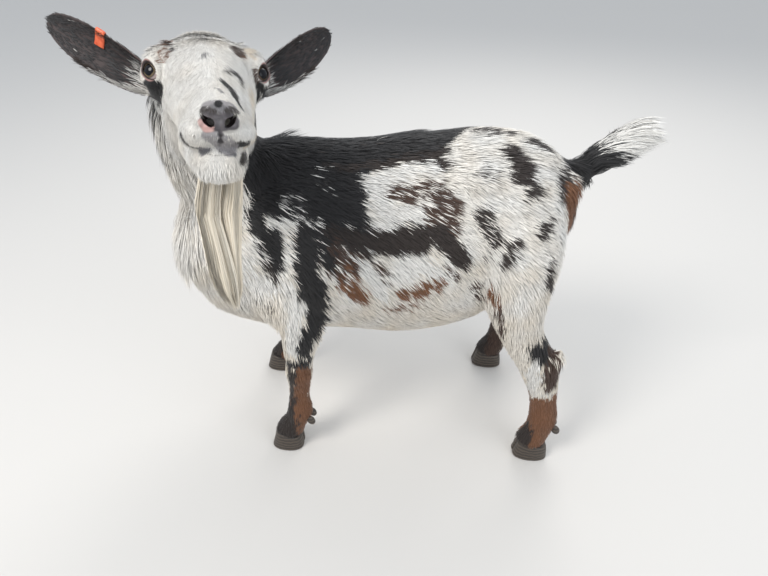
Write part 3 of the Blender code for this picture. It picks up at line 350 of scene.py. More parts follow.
FORE_LEG = (
    # x, how far inside the hoof's line, height, half width, half depth
    (-0.215, 0.062, 0.410, 0.022, 0.040),
    (-0.205, 0.036, 0.360, 0.032, 0.050),
    (-0.176, 0.018, 0.308, 0.034, 0.048),
    (-0.146, 0.005, 0.262, 0.030, 0.038),
    (-0.149, 0.000, 0.218, 0.0235, 0.0275),
    (-0.152, 0.000, 0.188, 0.0210, 0.0220),
    (-0.154, 0.000, 0.168, 0.0225, 0.0225),
    (-0.156, 0.000, 0.140, 0.0175, 0.0188),
    (-0.159, 0.000, 0.110, 0.0168, 0.0180),
    (-0.160, 0.000, 0.082, 0.0212, 0.0220),
    (-0.168, 0.000, 0.060, 0.0195, 0.0200),
    (-0.180, 0.000, 0.038, 0.0215, 0.0240),
    (-0.188, 0.000, 0.018, 0.0200, 0.0240),
)
HIND_LEG = (
    (0.160, 0.085, 0.480, 0.026, 0.045),
    (0.166, 0.058, 0.430, 0.040, 0.064),
    (0.168, 0.038, 0.380, 0.046, 0.064),
    (0.170, 0.026, 0.335, 0.044, 0.056),
    (0.175, 0.014, 0.298, 0.038, 0.047),
    (0.186, 0.006, 0.256, 0.0285, 0.0345),
    (0.204, 0.003, 0.222, 0.0235, 0.0310),
    (0.221, 0.002, 0.188, 0.0225, 0.0305),
    (0.231, 0.001, 0.150, 0.0200, 0.0245),
    (0.236, 0.000, 0.118, 0.0187, 0.0222),
    (0.240, 0.000, 0.085, 0.0222, 0.0242),
    (0.236, 0.000, 0.058, 0.0205, 0.0225),
    (0.228, 0.000, 0.038, 0.0220, 0.0250),
    (0.220, 0.000, 0.018, 0.0200, 0.0250),
)


def leg(rows, side, spread, step, reach):
    made = []
    for x, inward, z, wide, deep in rows:
        lower = max(0.0, 1 - z / reach)
        made.append((x + step * lower, side * (spread - inward), z, wide, deep))
    return loft("leg", made, steps=4, around=28)


def legs():
    made = []
    for side, fore, hind in ((-1, 0.0, 0.0), (1, FAR_FORE_STEP, FAR_HIND_STEP)):
        made.append(leg(FORE_LEG, side, FORE_SPREAD, fore, 0.32))
        made.append(leg(HIND_LEG, side, HIND_SPREAD, hind, 0.34))
        made.append(mass("hock", (0.240 + hind * 0.45, side * HIND_SPREAD, 0.198),
                         (0.0125, 0.0120, 0.036), turn=(0, 16, 0)))
    return made


def skull():
    face = (
        # x, centre height, half width, half height, pinch
        (-0.092, -0.016, 0.026, 0.028, 0.0),
        (-0.078, -0.010, 0.040, 0.042, 0.0),
        (-0.050, -0.002, 0.050, 0.049, -0.04),
        (-0.020, -0.004, 0.0540, 0.0490, -0.12),
        (0.005, -0.011, 0.0520, 0.0455, -0.12),
        (0.030, -0.021, 0.0430, 0.0410, 0.0),
        (0.060, -0.031, 0.0360, 0.0345, 0.16),
        (0.085, -0.038, 0.0320, 0.0290, 0.22),
        (0.104, -0.044, 0.0270, 0.0235, 0.18),
        (0.116, -0.047, 0.0200, 0.0175, 0.10),
        (0.1215, -0.048, 0.0090, 0.0085, 0.0),
    )
    made = [loft("face", [(x, 0, z, w, h) for x, z, w, h, _ in face], pinch=[f[4] for f in face],
                 steps=5, around=40, place=HEAD)]
    jaw = (
        (-0.068, -0.046, 0.030, 0.030),
        (-0.032, -0.052, 0.038, 0.036),
        (0.012, -0.060, 0.035, 0.030),
        (0.050, -0.070, 0.030, 0.023),
        (0.080, -0.0765, 0.0255, 0.0185),
        (0.098, -0.0780, 0.0215, 0.0150),
        (0.109, -0.0770, 0.0120, 0.0085),
    )
    made.append(loft("jaw", [(x, 0, z, w, h) for x, z, w, h in jaw], steps=5, around=32, place=HEAD))
    for sign in (-1, 1):
        for name, centre, radii, turn in (
                ("cheek", (-0.030, 0.027, -0.036), (0.050, 0.024, 0.042), (0, 0, 0)),
                ("brow", (-0.006, 0.0375, 0.0165), (0.036, 0.020, 0.018), (0, 14, -14)),
                ("orbit", (-0.003, 0.0405, 0.003), (0.031, 0.0220, 0.027), (0, 8, -14)),
                ("bud", (-0.030, 0.032, 0.036), (0.012, 0.010, 0.009), (0, 0, 0)),
                ("lip_pad", (0.092, 0.0185, -0.053), (0.026, 0.0160, 0.0160), (0, 0, 0)),
                ("wing", (0.106, 0.0125, -0.0415), (0.014, 0.0105, 0.0125), (0, 0, 0))):
            x, y, z = centre
            a, b, c = turn
            made.append(mass(name, (x, sign * y, z), radii, (a, b, sign * c), HEAD))
    made.append(mass("chin", (0.089, 0, -0.084), (0.022, 0.022, 0.014), place=HEAD))
    made.append(mass("poll", (-0.048, 0, 0.038), (0.034, 0.034, 0.018), place=HEAD))
    return made


def joined(name, objects):
    whole = bmesh.new()
    for piece in objects:
        whole.from_mesh(piece.data)
        bpy.data.objects.remove(piece)
    mesh = bpy.data.meshes.new(name)
    whole.to_mesh(mesh)
    whole.free()
    return link(bpy.data.objects.new(name, mesh))


def bake_modifiers(obj):
    graph = bpy.context.evaluated_depsgraph_get()
    graph.update()
    made = bpy.data.meshes.new_from_object(obj.evaluated_get(graph))
    obj.modifiers.clear()
    obj.data = made


def vertex_array(mesh):
    found = np.empty(len(mesh.vertices) * 3)
    mesh.vertices.foreach_get("co", found)
    return found.reshape(-1, 3)


def move_vertices(mesh, points):
    mesh.vertices.foreach_set("co", points.ravel())
    mesh.update()


def normal_array(mesh):
    found = np.empty(len(mesh.vertices) * 3, dtype=np.float32)
    mesh.vertex_normals.foreach_get("vector", found)
    return found.reshape(-1, 3).astype(float)


def eye_opening(side):
    """The middle of an eye's opening, in the head's frame."""
    out = unit(np.array((EYE_AXIS[0], side * EYE_AXIS[1], EYE_AXIS[2])))
    return np.array((EYE_PLACE[0], side * EYE_PLACE[1], EYE_PLACE[2])) + out * EYE_RADIUS


def head_share(points):
    """1 in the head, 0 in the neck and body, blended behind the ears."""
    local = to_head(points)
    return smoothstep(-0.105, -0.060, local[:, 0] + 0.36 * local[:, 2])


def coat_depth(points):
    """How far the skin lies under the tips of the short coat."""
    local = to_head(points)
    face = 0.0018 + 0.0032 * smoothstep(0.02, -0.05, local[:, 0])
    bare = smoothstep(0.012, 0.004, np.linalg.norm(local - (0.118, 0, -0.044), axis=1) - 0.010)
    face = face * (1 - bare) + 0.0004 * bare
    for sign in (-1, 1):
        eye = np.linalg.norm(local - eye_opening(sign), axis=1)
        face = face * smoothstep(0.010, 0.024, eye)
    poll = smoothstep(-0.010, -0.045, local[:, 0]) * smoothstep(0.012, 0.034, local[:, 2])
    face = face + 0.0032 * poll
    body = 0.0018 + 0.0036 * smoothstep(0.14, 0.30, points[:, 2])
    share = head_share(points)
    return face * share + body * (1 - share)


def refine(obj, reach):
    """Splits the skin's edges round the eyes, the nose and the mouth."""
    edit = bmesh.new()
    edit.from_mesh(obj.data)
    edit.edges.ensure_lookup_table()
    local = to_head(vertex_array(obj.data))
    near = np.full(len(local), 1.0)
    for centre in (eye_opening(-1), eye_opening(1), (0.112, 0.0, -0.045), (0.098, 0.022, -0.064),
                   (0.098, -0.022, -0.064)):
        near = np.minimum(near, np.linalg.norm(local - np.array(centre), axis=1))
    inside = near < reach
    chosen = [e for e in edit.edges if inside[e.verts[0].index] and inside[e.verts[1].index]]
    bmesh.ops.subdivide_edges(edit, edges=chosen, cuts=1, use_grid_fill=True, smooth=0.0)
    bmesh.ops.triangulate(edit, faces=edit.faces)
    edit.to_mesh(obj.data)
    edit.free()


def groove(points, path, width):
    """1 along a path of points and 0 further from it than about the width."""
    away = np.full(len(points), 1.0)
    middle = np.mean(path, axis=0)
    near = np.nonzero(np.linalg.norm(points - middle, axis=1) < 0.06)[0]
    for a, b in zip(path[:-1], path[1:]):
        away[near] = np.minimum(away[near], stroke_distance(points[near], a, b))
    return np.exp(-(away / width) ** 2)


def stroke_distance(points, start, end):
    start, end = np.array(start), np.array(end)
    along = end - start
    t = np.clip((points - start) @ along / max(along @ along, 1e-12), 0, 1)
    return np.linalg.norm(points - start - t[:, None] * along, axis=1)


def face_relief(local):
    """Folds and rims of the face, in metres out of the skin."""
    rise = np.zeros(len(local))
    for side in (-1, 1):
        centre = eye_opening(side)
        frame_of_eye = np.array(eye_turn(side))
        turned = (local - centre) @ frame_of_eye
        x, y, z = turned.T
        radial = np.hypot(x / 1.12, y)
        around = np.arctan2(y, x)
        close = (np.abs(z) < 0.016).astype(float)
        upper = smoothstep(-0.2, 0.5, np.sin(around))
        rise += close * 0.0011 * np.exp(-((radial - 0.0112) / 0.0021) ** 2)
        rise -= close * 0.0010 * upper * np.exp(-((radial - 0.0150) / 0.0013) ** 2)
        rise += close * 0.0008 * upper * np.exp(-((radial - 0.0182) / 0.0022) ** 2)
        rise -= close * 0.0007 * (1 - upper) * np.exp(-((radial - 0.0158) / 0.0011) ** 2)
        trough = spline(((0.0105, side * 0.0500, -0.004), (0.022, side * 0.0455, -0.012),
                         (0.034, side * 0.0410, -0.019)), 5)
        rise -= 0.0011 * groove(local, trough, 0.0024)
        rim = spline(((0.119, side * 0.0055, -0.048), (0.1185, side * 0.0125, -0.0485),
                      (0.1165, side * 0.0168, -0.0440), (0.113, side * 0.0195, -0.0385),
                      (0.108, side * 0.0225, -0.0350)), 5)
        rise += 0.0013 * groove(local, rim, 0.0021)
        fold = spline(((0.104, side * 0.0250, -0.0375), (0.101, side * 0.0280, -0.0440),
                       (0.095, side * 0.0300, -0.0500)), 5)
        rise -= 0.0010 * groove(local, fold, 0.0016)
        corner = spline(((0.072, side * 0.0390, -0.0515), (0.064, side * 0.0400, -0.0560),
                         (0.058, side * 0.0390, -0.0610)), 5)
        rise -= 0.0012 * groove(local, corner, 0.0018)
    middle = spline(((0.1215, 0, -0.044), (0.1200, 0, -0.055), (0.1130, 0, -0.066), (0.108, 0, -0.071)), 6)
    rise -= 0.0016 * groove(local, middle, 0.0014)
    return rise


def eye_turn(side):
    """The eye's own axes as columns, in the head's frame: along the opening, across it, and out."""
    out = unit(np.array((EYE_AXIS[0], side * EYE_AXIS[1], EYE_AXIS[2])))
    along = np.array((1, 0, -0.38))
    along = unit(along - out * (along @ out))
    return np.stack([along, np.cross(out, along), out], axis=1)


def make_flesh():
    """The skin before its openings are cut: masses fused, smoothed, thinned and drawn in."""
    pieces = trunk() + legs() + skull()
    pieces.append(loft("neck", NECK_ROWS, sides=NECK_SIDES, steps=6, around=36))
    pieces.append(loft("dock", DOCK_ROWS, steps=5, around=24))
    skin = joined("skin", pieces)
    remesh = skin.modifiers.new("fuse", "REMESH")
    remesh.mode = "VOXEL"
    remesh.voxel_size = SKIN_VOXEL
    bake_modifiers(skin)
    head = head_share(vertex_array(skin.data))
    group = skin.vertex_groups.new(name="body")
    for weight in range(5):
        chosen = np.nonzero(np.round((1 - head) * 4) == weight)[0]
        group.add([int(i) for i in chosen], weight / 4, "REPLACE")
    for name, rounds, where in (("soften", HEAD_SMOOTH_ROUNDS, ""),
                                ("melt", SMOOTH_ROUNDS - HEAD_SMOOTH_ROUNDS, "body")):
        smooth = skin.modifiers.new(name, "SMOOTH")
        smooth.factor = 0.5
        smooth.iterations = rounds
        smooth.vertex_group = where
    bake_modifiers(skin)
    thin = skin.modifiers.new("thin", "DECIMATE")
    thin.ratio = SKIN_TRIANGLES / (2 * len(skin.data.polygons))
    thin.use_collapse_triangulate = True
    bake_modifiers(skin)
    for reach in (0.034, 0.024):
        refine(skin, reach)
    points = vertex_array(skin.data)
    points -= normal_array(skin.data) * coat_depth(points)[:, None]
    move_vertices(skin.data, points)
    points += normal_array(skin.data) * face_relief(to_head(points))[:, None]
    move_vertices(skin.data, points)
    return skin


skin = make_flesh()


# Openings of the head

def boolean(obj, operation, operand):
    step = obj.modifiers.new("combine", "BOOLEAN")
    step.operation = operation
    step.solver = "MANIFOLD"
    step.object = operand
    bake_modifiers(obj)
    bpy.data.objects.remove(operand)


def eye_frame(side):
    """The matrix from an eye's own frame: Z out through the pupil, X along the opening."""
    turn = Matrix([list(row) for row in eye_turn(side)]).to_4x4()
    centre = Vector((EYE_PLACE[0], side * EYE_PLACE[1], EYE_PLACE[2]))
    return HEAD @ Matrix.Translation(centre) @ turn


def ball(name, radius, side, segments=48, rings=28):
    """A sphere round the middle of an eye."""
    return ball_mesh(name, segments, rings, radius, eye_frame(side))


def lid_edge(angle, grow=1.0):
    """A point of the almond between the lids, in the eye's own frame."""
    rise = math.sin(angle) * abs(math.sin(angle)) ** 0.25
    return math.cos(angle) * LID_HALF_WIDTH * grow, rise * LID_HALF_HEIGHT * grow


def lid_opening(side):
    """The almond between the lids, as a cutter that widens outward from the eye's middle."""
    around = 40
    stops = ((0.35, 0.42), (0.80, 0.86), (1.04, 1.04), (2.2, 2.2))
    points = [(*lid_edge(2 * math.pi * i / around, grow), depth * EYE_RADIUS)
              for depth, grow in stops for i in range(around)]
    return closed_body("lid_opening", points, tube_faces(len(stops), around), eye_frame(side))


def lid_rim(side):
    """A closed tube round the opening that gives the lids their rounded edge."""
    around, section = 56, 12
    points, faces = [], []
    ring = []
    for i in range(around):
        x, y = lid_edge(2 * math.pi * i / around)
        flat = min(0.95, math.hypot(x, y) / EYE_RADIUS)
        ring.append(Vector((x, y, EYE_RADIUS * math.sqrt(1 - flat * flat))).normalized()
                    * (EYE_RADIUS + 0.0009))
    for i, here in enumerate(ring):
        along = (ring[(i + 1) % around] - ring[i - 1]).normalized()
        out = here.normalized()
        aside = along.cross(out)
        thick = 0.0013 + 0.0005 * max(0.0, math.sin(2 * math.pi * i / around))
        for j in range(section):
            turn = 2 * math.pi * j / section
            points.append(here + (out * math.cos(turn) + aside * math.sin(turn)) * thick)
    for i in range(around):
        for j in range(section):
            k, n = (j + 1) % section, (i + 1) % around
            faces.append((section * i + j, section * i + k, section * n + k, section * n + j))
    return closed_body("lid_rim", points, faces, eye_frame(side))


MOUTH_CORNERS = ((0.060, 0.0430, -0.0500), (0.074, 0.0380, -0.0530), (0.088, 0.0310, -0.0595),
                 (0.103, 0.0200, -0.0690), (0.1125, 0.000, -0.0730))


def mouth_path(steps):
    half = np.array(MOUTH_CORNERS)
    return spline(np.vstack([half, half[-2::-1] * (1, -1, 1)]), steps)


def mouth_line():
    """The cutter of the mouth: a thin wedge that follows the lips from corner to corner."""
    points = []
    path = mouth_path(6)
    for x, y, z in path:
        inward = Vector((0.055 - x, -y, 0)).normalized()
        if abs(y) > 0.03:
            inward = Vector((0.0, -math.copysign(1, y), 0)).lerp(inward, 0.35).normalized()
        outer = Vector((x, y, z)) - inward * 0.004
        inner = outer + inward * MOUTH_DEPTH
        points += [outer + Vector((0, 0, MOUTH_OPENING / 2)), outer - Vector((0, 0, MOUTH_OPENING / 2)),
                   inner - Vector((0, 0, 0.0004)), inner + Vector((0, 0, 0.0004))]
    return closed_body("mouth_line", points, tube_faces(len(path), 4), HEAD)


def nostril(side):
    """The cutters of a nostril: a way in, and the comma that sweeps up to its outer end."""
    way_in = (
        (0.100, side * 0.0050, -0.0435, 0.0034, 0.0026),
        (0.110, side * 0.0064, -0.0446, 0.0040, 0.0030),
        (0.118, side * 0.0078, -0.0452, 0.0043, 0.0034),
        (0.128, side * 0.0088, -0.0452, 0.0045, 0.0036),
    )
    comma = (
        (0.1165, side * 0.0054, -0.0478, 0.0016, 0.0042),
        (0.1180, side * 0.0074, -0.0466, 0.0034, 0.0058),
        (0.1176, side * 0.0098, -0.0446, 0.0034, 0.0058),
        (0.1158, side * 0.0120, -0.0422, 0.0024, 0.0052),
        (0.1136, side * 0.0134, -0.0402, 0.0013, 0.0042),
        (0.1112, side * 0.0142, -0.0386, 0.0005, 0.0020),
    )
    return (loft("nostril", way_in, sides=(0, side * 0.78, 0.62), steps=5, around=24, place=HEAD),
            loft("nostril_sweep", comma, sides=(0, side * 0.76, -0.62), steps=6, around=24, place=HEAD))


def cut_openings():
    for side in (-1, 1):
        boolean(skin, "DIFFERENCE", lid_opening(side))
        boolean(skin, "UNION", lid_rim(side))
        boolean(skin, "DIFFERENCE", ball("socket", EYE_RADIUS + SOCKET_CLEAR, side))
        for hole in nostril(side):
            boolean(skin, "DIFFERENCE", hole)
    boolean(skin, "DIFFERENCE", mouth_line())


# Ears

def strip_faces(rows, ring):
    """The faces of a flat tube whose ends are closed by quads from its outer to its inner face."""
    faces = tube_faces(rows, ring, capped=False)
    for row in (0, rows - 1):
        for j in range(ring // 2 - 1):
            a, b = ring * row + j, ring * row + j + 1
            c, d = ring * row + ring - 2 - j, ring * row + ring - 1 - j
            faces.append((a, b, c, d) if row else (a, d, c, b))
    return faces


def ear_surface(side, u, v, layer):
    """A point of the ear in the head's frame. u runs to the tip, v across, layer 0 out and 1 in."""
    base = Vector(EAR_BASE)
    tip = base + Vector(EAR_REACH)
    sag = Vector((0.0, 0.0, -EAR_DROOP)) * (u * abs(u))
    lift = Vector((0.0, 0.0, EAR_DROOP)) * u
    axis_point = base.lerp(tip, u) + sag + lift
    along = (tip - base + Vector((0, 0, EAR_DROOP)) * (1 - 2 * u)).normalized()
    opening = Vector((0.86, 0.28, -0.18)).lerp(Vector((0.90, 0.0, -0.42)), u)
    opening = (opening - along * opening.dot(along)).normalized()
    across = along.cross(opening).normalized()
    rise = min(1.0, max(0.0, u) / 0.38)
    wide = EAR_ROOT_HALF + (EAR_HALF_WIDTH - EAR_ROOT_HALF) * math.sin(rise * math.pi / 2)
    if u > 0.38:
        wide *= max(0.0, 1 - ((u - 0.38) / 0.62) ** 3.1) ** 0.54
    curl = 1.75 + (0.62 - 1.75) * min(1.0, max(0.0, u) / 0.8) ** 0.7
    half_arc = wide * (1 + 0.22 * (curl - 0.6))
    if layer:
        half_arc *= 1 - EAR_THICKNESS * 0.35 / max(half_arc, EAR_THICKNESS)
    radius = half_arc / curl
    angle = curl * v
    point = axis_point + across * radius * math.sin(angle) - opening * radius * (math.cos(angle) - 1)
    inward = -across * math.sin(angle) + opening * math.cos(angle)
    if layer:
        thick = EAR_THICKNESS * (1 - 0.55 * abs(v) ** 3) * (1 - 0.35 * u)
        point = point + inward * thick
    point.y *= side
    return point


EAR_U_STEPS = 44
EAR_V_STEPS = 26
EAR_SKIN_INSET = 0.0005


def ear_shell(side):
    """A cupped shell in fine rows, a little inside the solid's, rooted in the head."""
    points = []
    us = [-0.10 + 1.085 * i / EAR_U_STEPS for i in range(EAR_U_STEPS + 1)]
    vs = [-0.97 + 1.94 * j / EAR_V_STEPS for j in range(EAR_V_STEPS + 1)]
    for u in us:
        outer = [ear_surface(side, u, v, 0) for v in vs]
        inner = [ear_surface(side, u, v, 1) for v in vs]
        for low, high in zip(outer, inner):
            points.append(low.lerp(high, EAR_SKIN_INSET / EAR_THICKNESS))
        for low, high in zip(outer[::-1], inner[::-1]):
            points.append(high.lerp(low, EAR_SKIN_INSET / EAR_THICKNESS))
    return closed_body("ear", points, strip_faces(len(us), 2 * len(vs)), HEAD)


# Markings: strokes from one point to another with a radius, laid over one another on a white coat.
# The first list is in the goat's frame and the second in the head's.

WHITE = (0.84, 0.815, 0.765)
CREAM = (0.80, 0.70, 0.56)
BLACK = (0.0095, 0.0085, 0.0090)
DARK = (0.026, 0.017, 0.013)
BROWN = (0.062, 0.031, 0.019)
RUST = (0.190, 0.078, 0.032)
GREY = (0.22, 0.21, 0.215)
SMOKE = (0.37, 0.35, 0.352)
PINK = (0.60, 0.37, 0.33)
LID = (0.290, 0.165, 0.148)
LID_EDGE = (0.030, 0.020, 0.018)
LEATHER = (0.072, 0.064, 0.068)
# painted shade inside the nostrils, also the dark skin of the rim above them
NOSTRIL_DARK = (0.020, 0.011, 0.011)
EAR_SKIN = (0.055, 0.040, 0.038)
EAR_ROOT_SKIN = (0.20, 0.11, 0.10)
EYE_WHITE = (0.62, 0.50, 0.47)
PUPIL = (0.004, 0.004, 0.006)


def strokes(*rows):
    """Rows of millimetres as strokes in metres: from, to, radius, colour, share."""
    return [(tuple(v / 1000 for v in row[:3]), tuple(v / 1000 for v in row[3:6]), row[6] / 1000,
             row[7], row[8]) for row in rows]


BODY_MARKS = strokes(
    # x, y, z from, x, y, z to and radius in millimetres, colour, share of the tufts that take it
    # Saddle of the left side and over the back
    (-185, -30, 496, -70, -33, 497, 42.5, BLACK, 1),
    (-78, -23, 502, 38, -30, 510, 30.8, DARK, 1),
    (40, 20, 513, 94, 20, 517, 15.2, DARK, 1),
    (-174, -69, 459, -69, -77, 455, 30.3, BLACK, 1),
    (-69, -68, 466, -51, -96, 428, 14.9, BLACK, 1),
    (-194, -77, 437, -178, -97, 380, 15.5, BLACK, 1),
    (-170, -92, 410, -168, -99, 368, 12.7, BLACK, 1),
    (-123, -93, 411, -123, -110, 314, 19.8, BLACK, 1),
    (-110, -113, 333, -119, -109, 258, 16.1, BLACK, 1),
    (-89, -92, 426, -69, -101, 411, 16.3, BLACK, 1),
    (52, -49, 501, 65, -55, 497, 9.3, DARK, 0.9),
    # Pale streaks over it
    (-145, -74, 454, -144, -88, 416, 8.3, WHITE, 0.5),
    (-129, -69, 456, -122, -85, 429, 5.5, WHITE, 0.25),
    (-101, -49, 484, -78, -97, 418, 12.4, WHITE, 0.14),
    (-198, -93, 400, -187, -99, 374, 8.5, WHITE, 0.75),
    (-149, -92, 402, -153, -103, 361, 5.6, WHITE, 0.8),
    (-207, -99, 370, -206, -101, 333, 11.6, WHITE, 0.85),
    (-201, -104, 303, -180, -111, 300, 8.9, DARK, 0.3),
    (-197, -102, 336, -151, -107, 332, 13.1, WHITE, 0.95),
    (-181, -99, 364, -173, -102, 349, 6.6, DARK, 0.8),
    # White patches of the flank and the blotches between them
    (-33, -66, 474, 7, -62, 486, 10.8, WHITE, 0.97),
    (-27, -67, 474, -18, -91, 445, 10.8, WHITE, 0.96),
    (-16, -92, 443, 0, -101, 430, 9.4, WHITE, 0.96),
    (0, -95, 442, 36, -94, 451, 10.7, WHITE, 0.95),
    (5, -57, 490, 47, -58, 493, 8.1, WHITE, 0.9),
    (-3, -77, 468, 21, -84, 464, 12.2, BROWN, 0.8),
    (-22, -109, 408, 38, -111, 414, 17.4, DARK, 1),
    (8, -105, 424, 37, -105, 429, 10.7, DARK, 0.88),
    (-87, -104, 398, -60, -114, 378, 16.4, BROWN, 0.9),
    (-75, -103, 406, -57, -114, 378, 4.1, WHITE, 0.6),
    (-45, -105, 410, -26, -116, 383, 5.4, WHITE, 0.62),
    (-81, -114, 364, -65, -118, 327, 9.8, WHITE, 0.7),
    (-60, -114, 375, -53, -120, 328, 9.4, RUST, 0.7),
    (-26, -117, 380, -14, -122, 357, 9.3, BROWN, 0.75),
    (-41, -117, 373, -19, -123, 334, 11, WHITE, 0.95),
    (9, -119, 382, 38, -120, 376, 10.8, WHITE, 0.92),
    (0, -121, 368, 19, -122, 364, 8.2, WHITE, 0.88),
    (6, -124, 335, 58, -122, 351, 9.4, RUST, 0.88),
    (-14, -120, 306, 39, -121, 322, 6.5, RUST, 0.5),
    (39, -78, 475, 73, -94, 453, 13.7, BROWN, 0.8),
    (47, -98, 446, 73, -104, 432, 15.2, BROWN, 0.86),
    (58, -110, 420, 86, -115, 386, 13.9, DARK, 1),
    (68, -119, 375, 80, -118, 363, 6.3, BROWN, 0.8),
    (38, -119, 385, 57, -120, 370, 9.5, WHITE, 0.9),
    (21, -95, 447, 31, -98, 443, 8, WHITE, 0.88),
    # Rump
    (113, 4, 521, 152, -4, 520, 11.6, DARK, 0.9),
    (183, -13, 513, 202, -17, 503, 10.7, DARK, 1),
    (154, -47, 507, 165, -67, 494, 14.9, DARK, 1),
    (176, -79, 476, 177, -83, 468, 10.9, DARK, 0.9),
    (110, -71, 495, 135, -73, 487, 6.7, DARK, 0.28),
    (140, -68, 492, 156, -77, 482, 5.4, DARK, 0.15),
    (115, -95, 446, 133, -104, 410, 10.8, DARK, 0.86),
    (203, -92, 434, 192, -106, 415, 6.4, DARK, 1),
    (160, -111, 410, 145, -119, 379, 7.8, DARK, 0.9),
    (130, -105, 403, 125, -109, 379, 4.1, DARK, 0.23),
    (227, -41, 475, 220, -62, 455, 11.5, DARK, 0.92),
    (239, -48, 448, 244, -43, 399, 13.5, RUST, 0.93),
    (108, -111, 344, 120, -104, 316, 5.7, BROWN, 0.65),
    (135, -116, 331, 140, -120, 316, 8.1, RUST, 0.9),
    (144, -123, 304, 156, -122, 263, 6.7, BROWN, 0.85),
    (206, -113, 382, 213, -112, 339, 6.6, DARK, 0.92),
    # Left hind leg
    (207, -130, 240, 218, -128, 227, 15.3, BLACK, 1),
    (221, -114, 246, 222, -120, 239, 9.3, BLACK, 1),
    (232, -116, 225, 238, -130, 168, 11.9, BROWN, 1),
    (205, -131, 210, 212, -123, 148, 8, WHITE, 1),
    (223, -131, 154, 245, -128, 145, 4.1, WHITE, 1),
    (226, -129, 113, 244, -128, 29, 26, RUST, 1),
    (218, -117, 97, 206, -123, 38, 8.7, DARK, 0.9),
    # Left fore leg
    (-145, -110, 304, -155, -119, 227, 12, WHITE, 1),
    (-130, -116, 263, -140, -119, 223, 10.6, BLACK, 1),
    (-164, -114, 194, -140, -116, 200, 11, BLACK, 1),
    (-145, -118, 172, -157, -116, 99, 19.7, RUST, 1),
    (-162, -117, 180, -171, -113, 95, 8.2, DARK, 1),
    (-174, -116, 66, -178, -119, 30, 28.2, DARK, 1),
    (-150, -115, 89, -154, -107, 52, 10.4, RUST, 0.9),
    (-111, -71, 456, -84, -85, 439, 16.4, BLACK, 0.92),
    (-173, -72, 456, -157, -83, 438, 11.1, BLACK, 0.88),
    (-84, -98, 415, -35, -109, 403, 14.2, DARK, 0.92),
    (-32, -106, 411, -6, -111, 405, 12.1, DARK, 0.95),
    (-95, -109, 378, -75, -115, 359, 9.7, BROWN, 0.88),
    (-71, -117, 350, -48, -120, 329, 9.8, RUST, 0.75),
    (-101, -98, 409, -93, -109, 378, 9.6, BLACK, 0.9),
    # Rust behind the thighs and over the tail's root
    (243, -45, 455, 250, -30, 386, 14, RUST, 0.92),
    (243, 45, 455, 250, 30, 386, 14, RUST, 0.92),
    (250, 0, 470, 256, 0, 400, 30, DARK, 0.9),
    # Right legs; their feet are dark brown, partly their own colour and partly painted shade
    (-200, 105, 170, -225, 100, 18, 36, RUST, 1),
    (-222, 105, 110, -244, 100, 18, 22, DARK, 1),
    (-180, 112, 270, -172, 112, 200, 20, BLACK, 0.95),
    (180, 115, 85, 176, 115, 18, 34, BROWN, 1),
    (160, 112, 75, 160, 112, 18, 22, DARK, 1),
    (186, 136, 232, 204, 130, 196, 16, BROWN, 0.95),
    # Inner sides and backs of the left feet
    (-150, -80, 172, -164, -80, 90, 24, RUST, 1),
    (-172, -105, 80, -190, -105, 18, 36, DARK, 1),
    (-148, -105, 100, -152, -105, 50, 20, RUST, 1),
    (236, -110, 122, 236, -115, 18, 32, RUST, 1),
    (208, -125, 60, 200, -125, 18, 18, DARK, 1),
    # Right side of the body
    (-190, 0, 500, 40, 10, 515, 50, BLACK, 0.97),
    (-180, 75, 455, -176, 100, 385, 34, BLACK, 0.96),
    (-100, 85, 450, -80, 112, 385, 46, BLACK, 0.95),
    (-120, 105, 390, -140, 112, 300, 20, BLACK, 0.94),
    (-20, 100, 440, 30, 112, 420, 24, BROWN, 0.86),
    (60, 95, 455, 74, 118, 400, 20, DARK, 0.9),
    (-30, 126, 350, 15, 128, 330, 16, RUST, 0.86),
    (-48, 98, 452, -30, 110, 425, 12, WHITE, 0.9),
    (-140, 95, 420, -134, 105, 390, 10, WHITE, 0.7),
    (120, 70, 500, 140, 85, 486, 14, DARK, 0.9),
    (165, 80, 475, 176, 90, 450, 15, DARK, 0.9),
    (125, 108, 420, 138, 112, 395, 13, BROWN, 0.88),
    (190, 104, 400, 200, 108, 360, 11, DARK, 0.85),
    # Neck
    (-205, 0, 490, -205, -35, 530, 32, BLACK, 0.95),
    (-192, -60, 500, -190, -68, 548, 24, BLACK, 0.93),
    (-250, 30, 480, -256, 10, 520, 16, BLACK, 0.9),
    (-290, -88, 590, -292, -84, 572, 11, BLACK, 0.95),
    (-300, -70, 540, -302, -66, 512, 7.5, BLACK, 0.85),
    (-277, -83, 504, -275, -70, 453, 4, BROWN, 0.45),
    # Tail, black to the end of the dock
    (255, 0, 468, 300, 0, 506, 32, BLACK, 1),
)
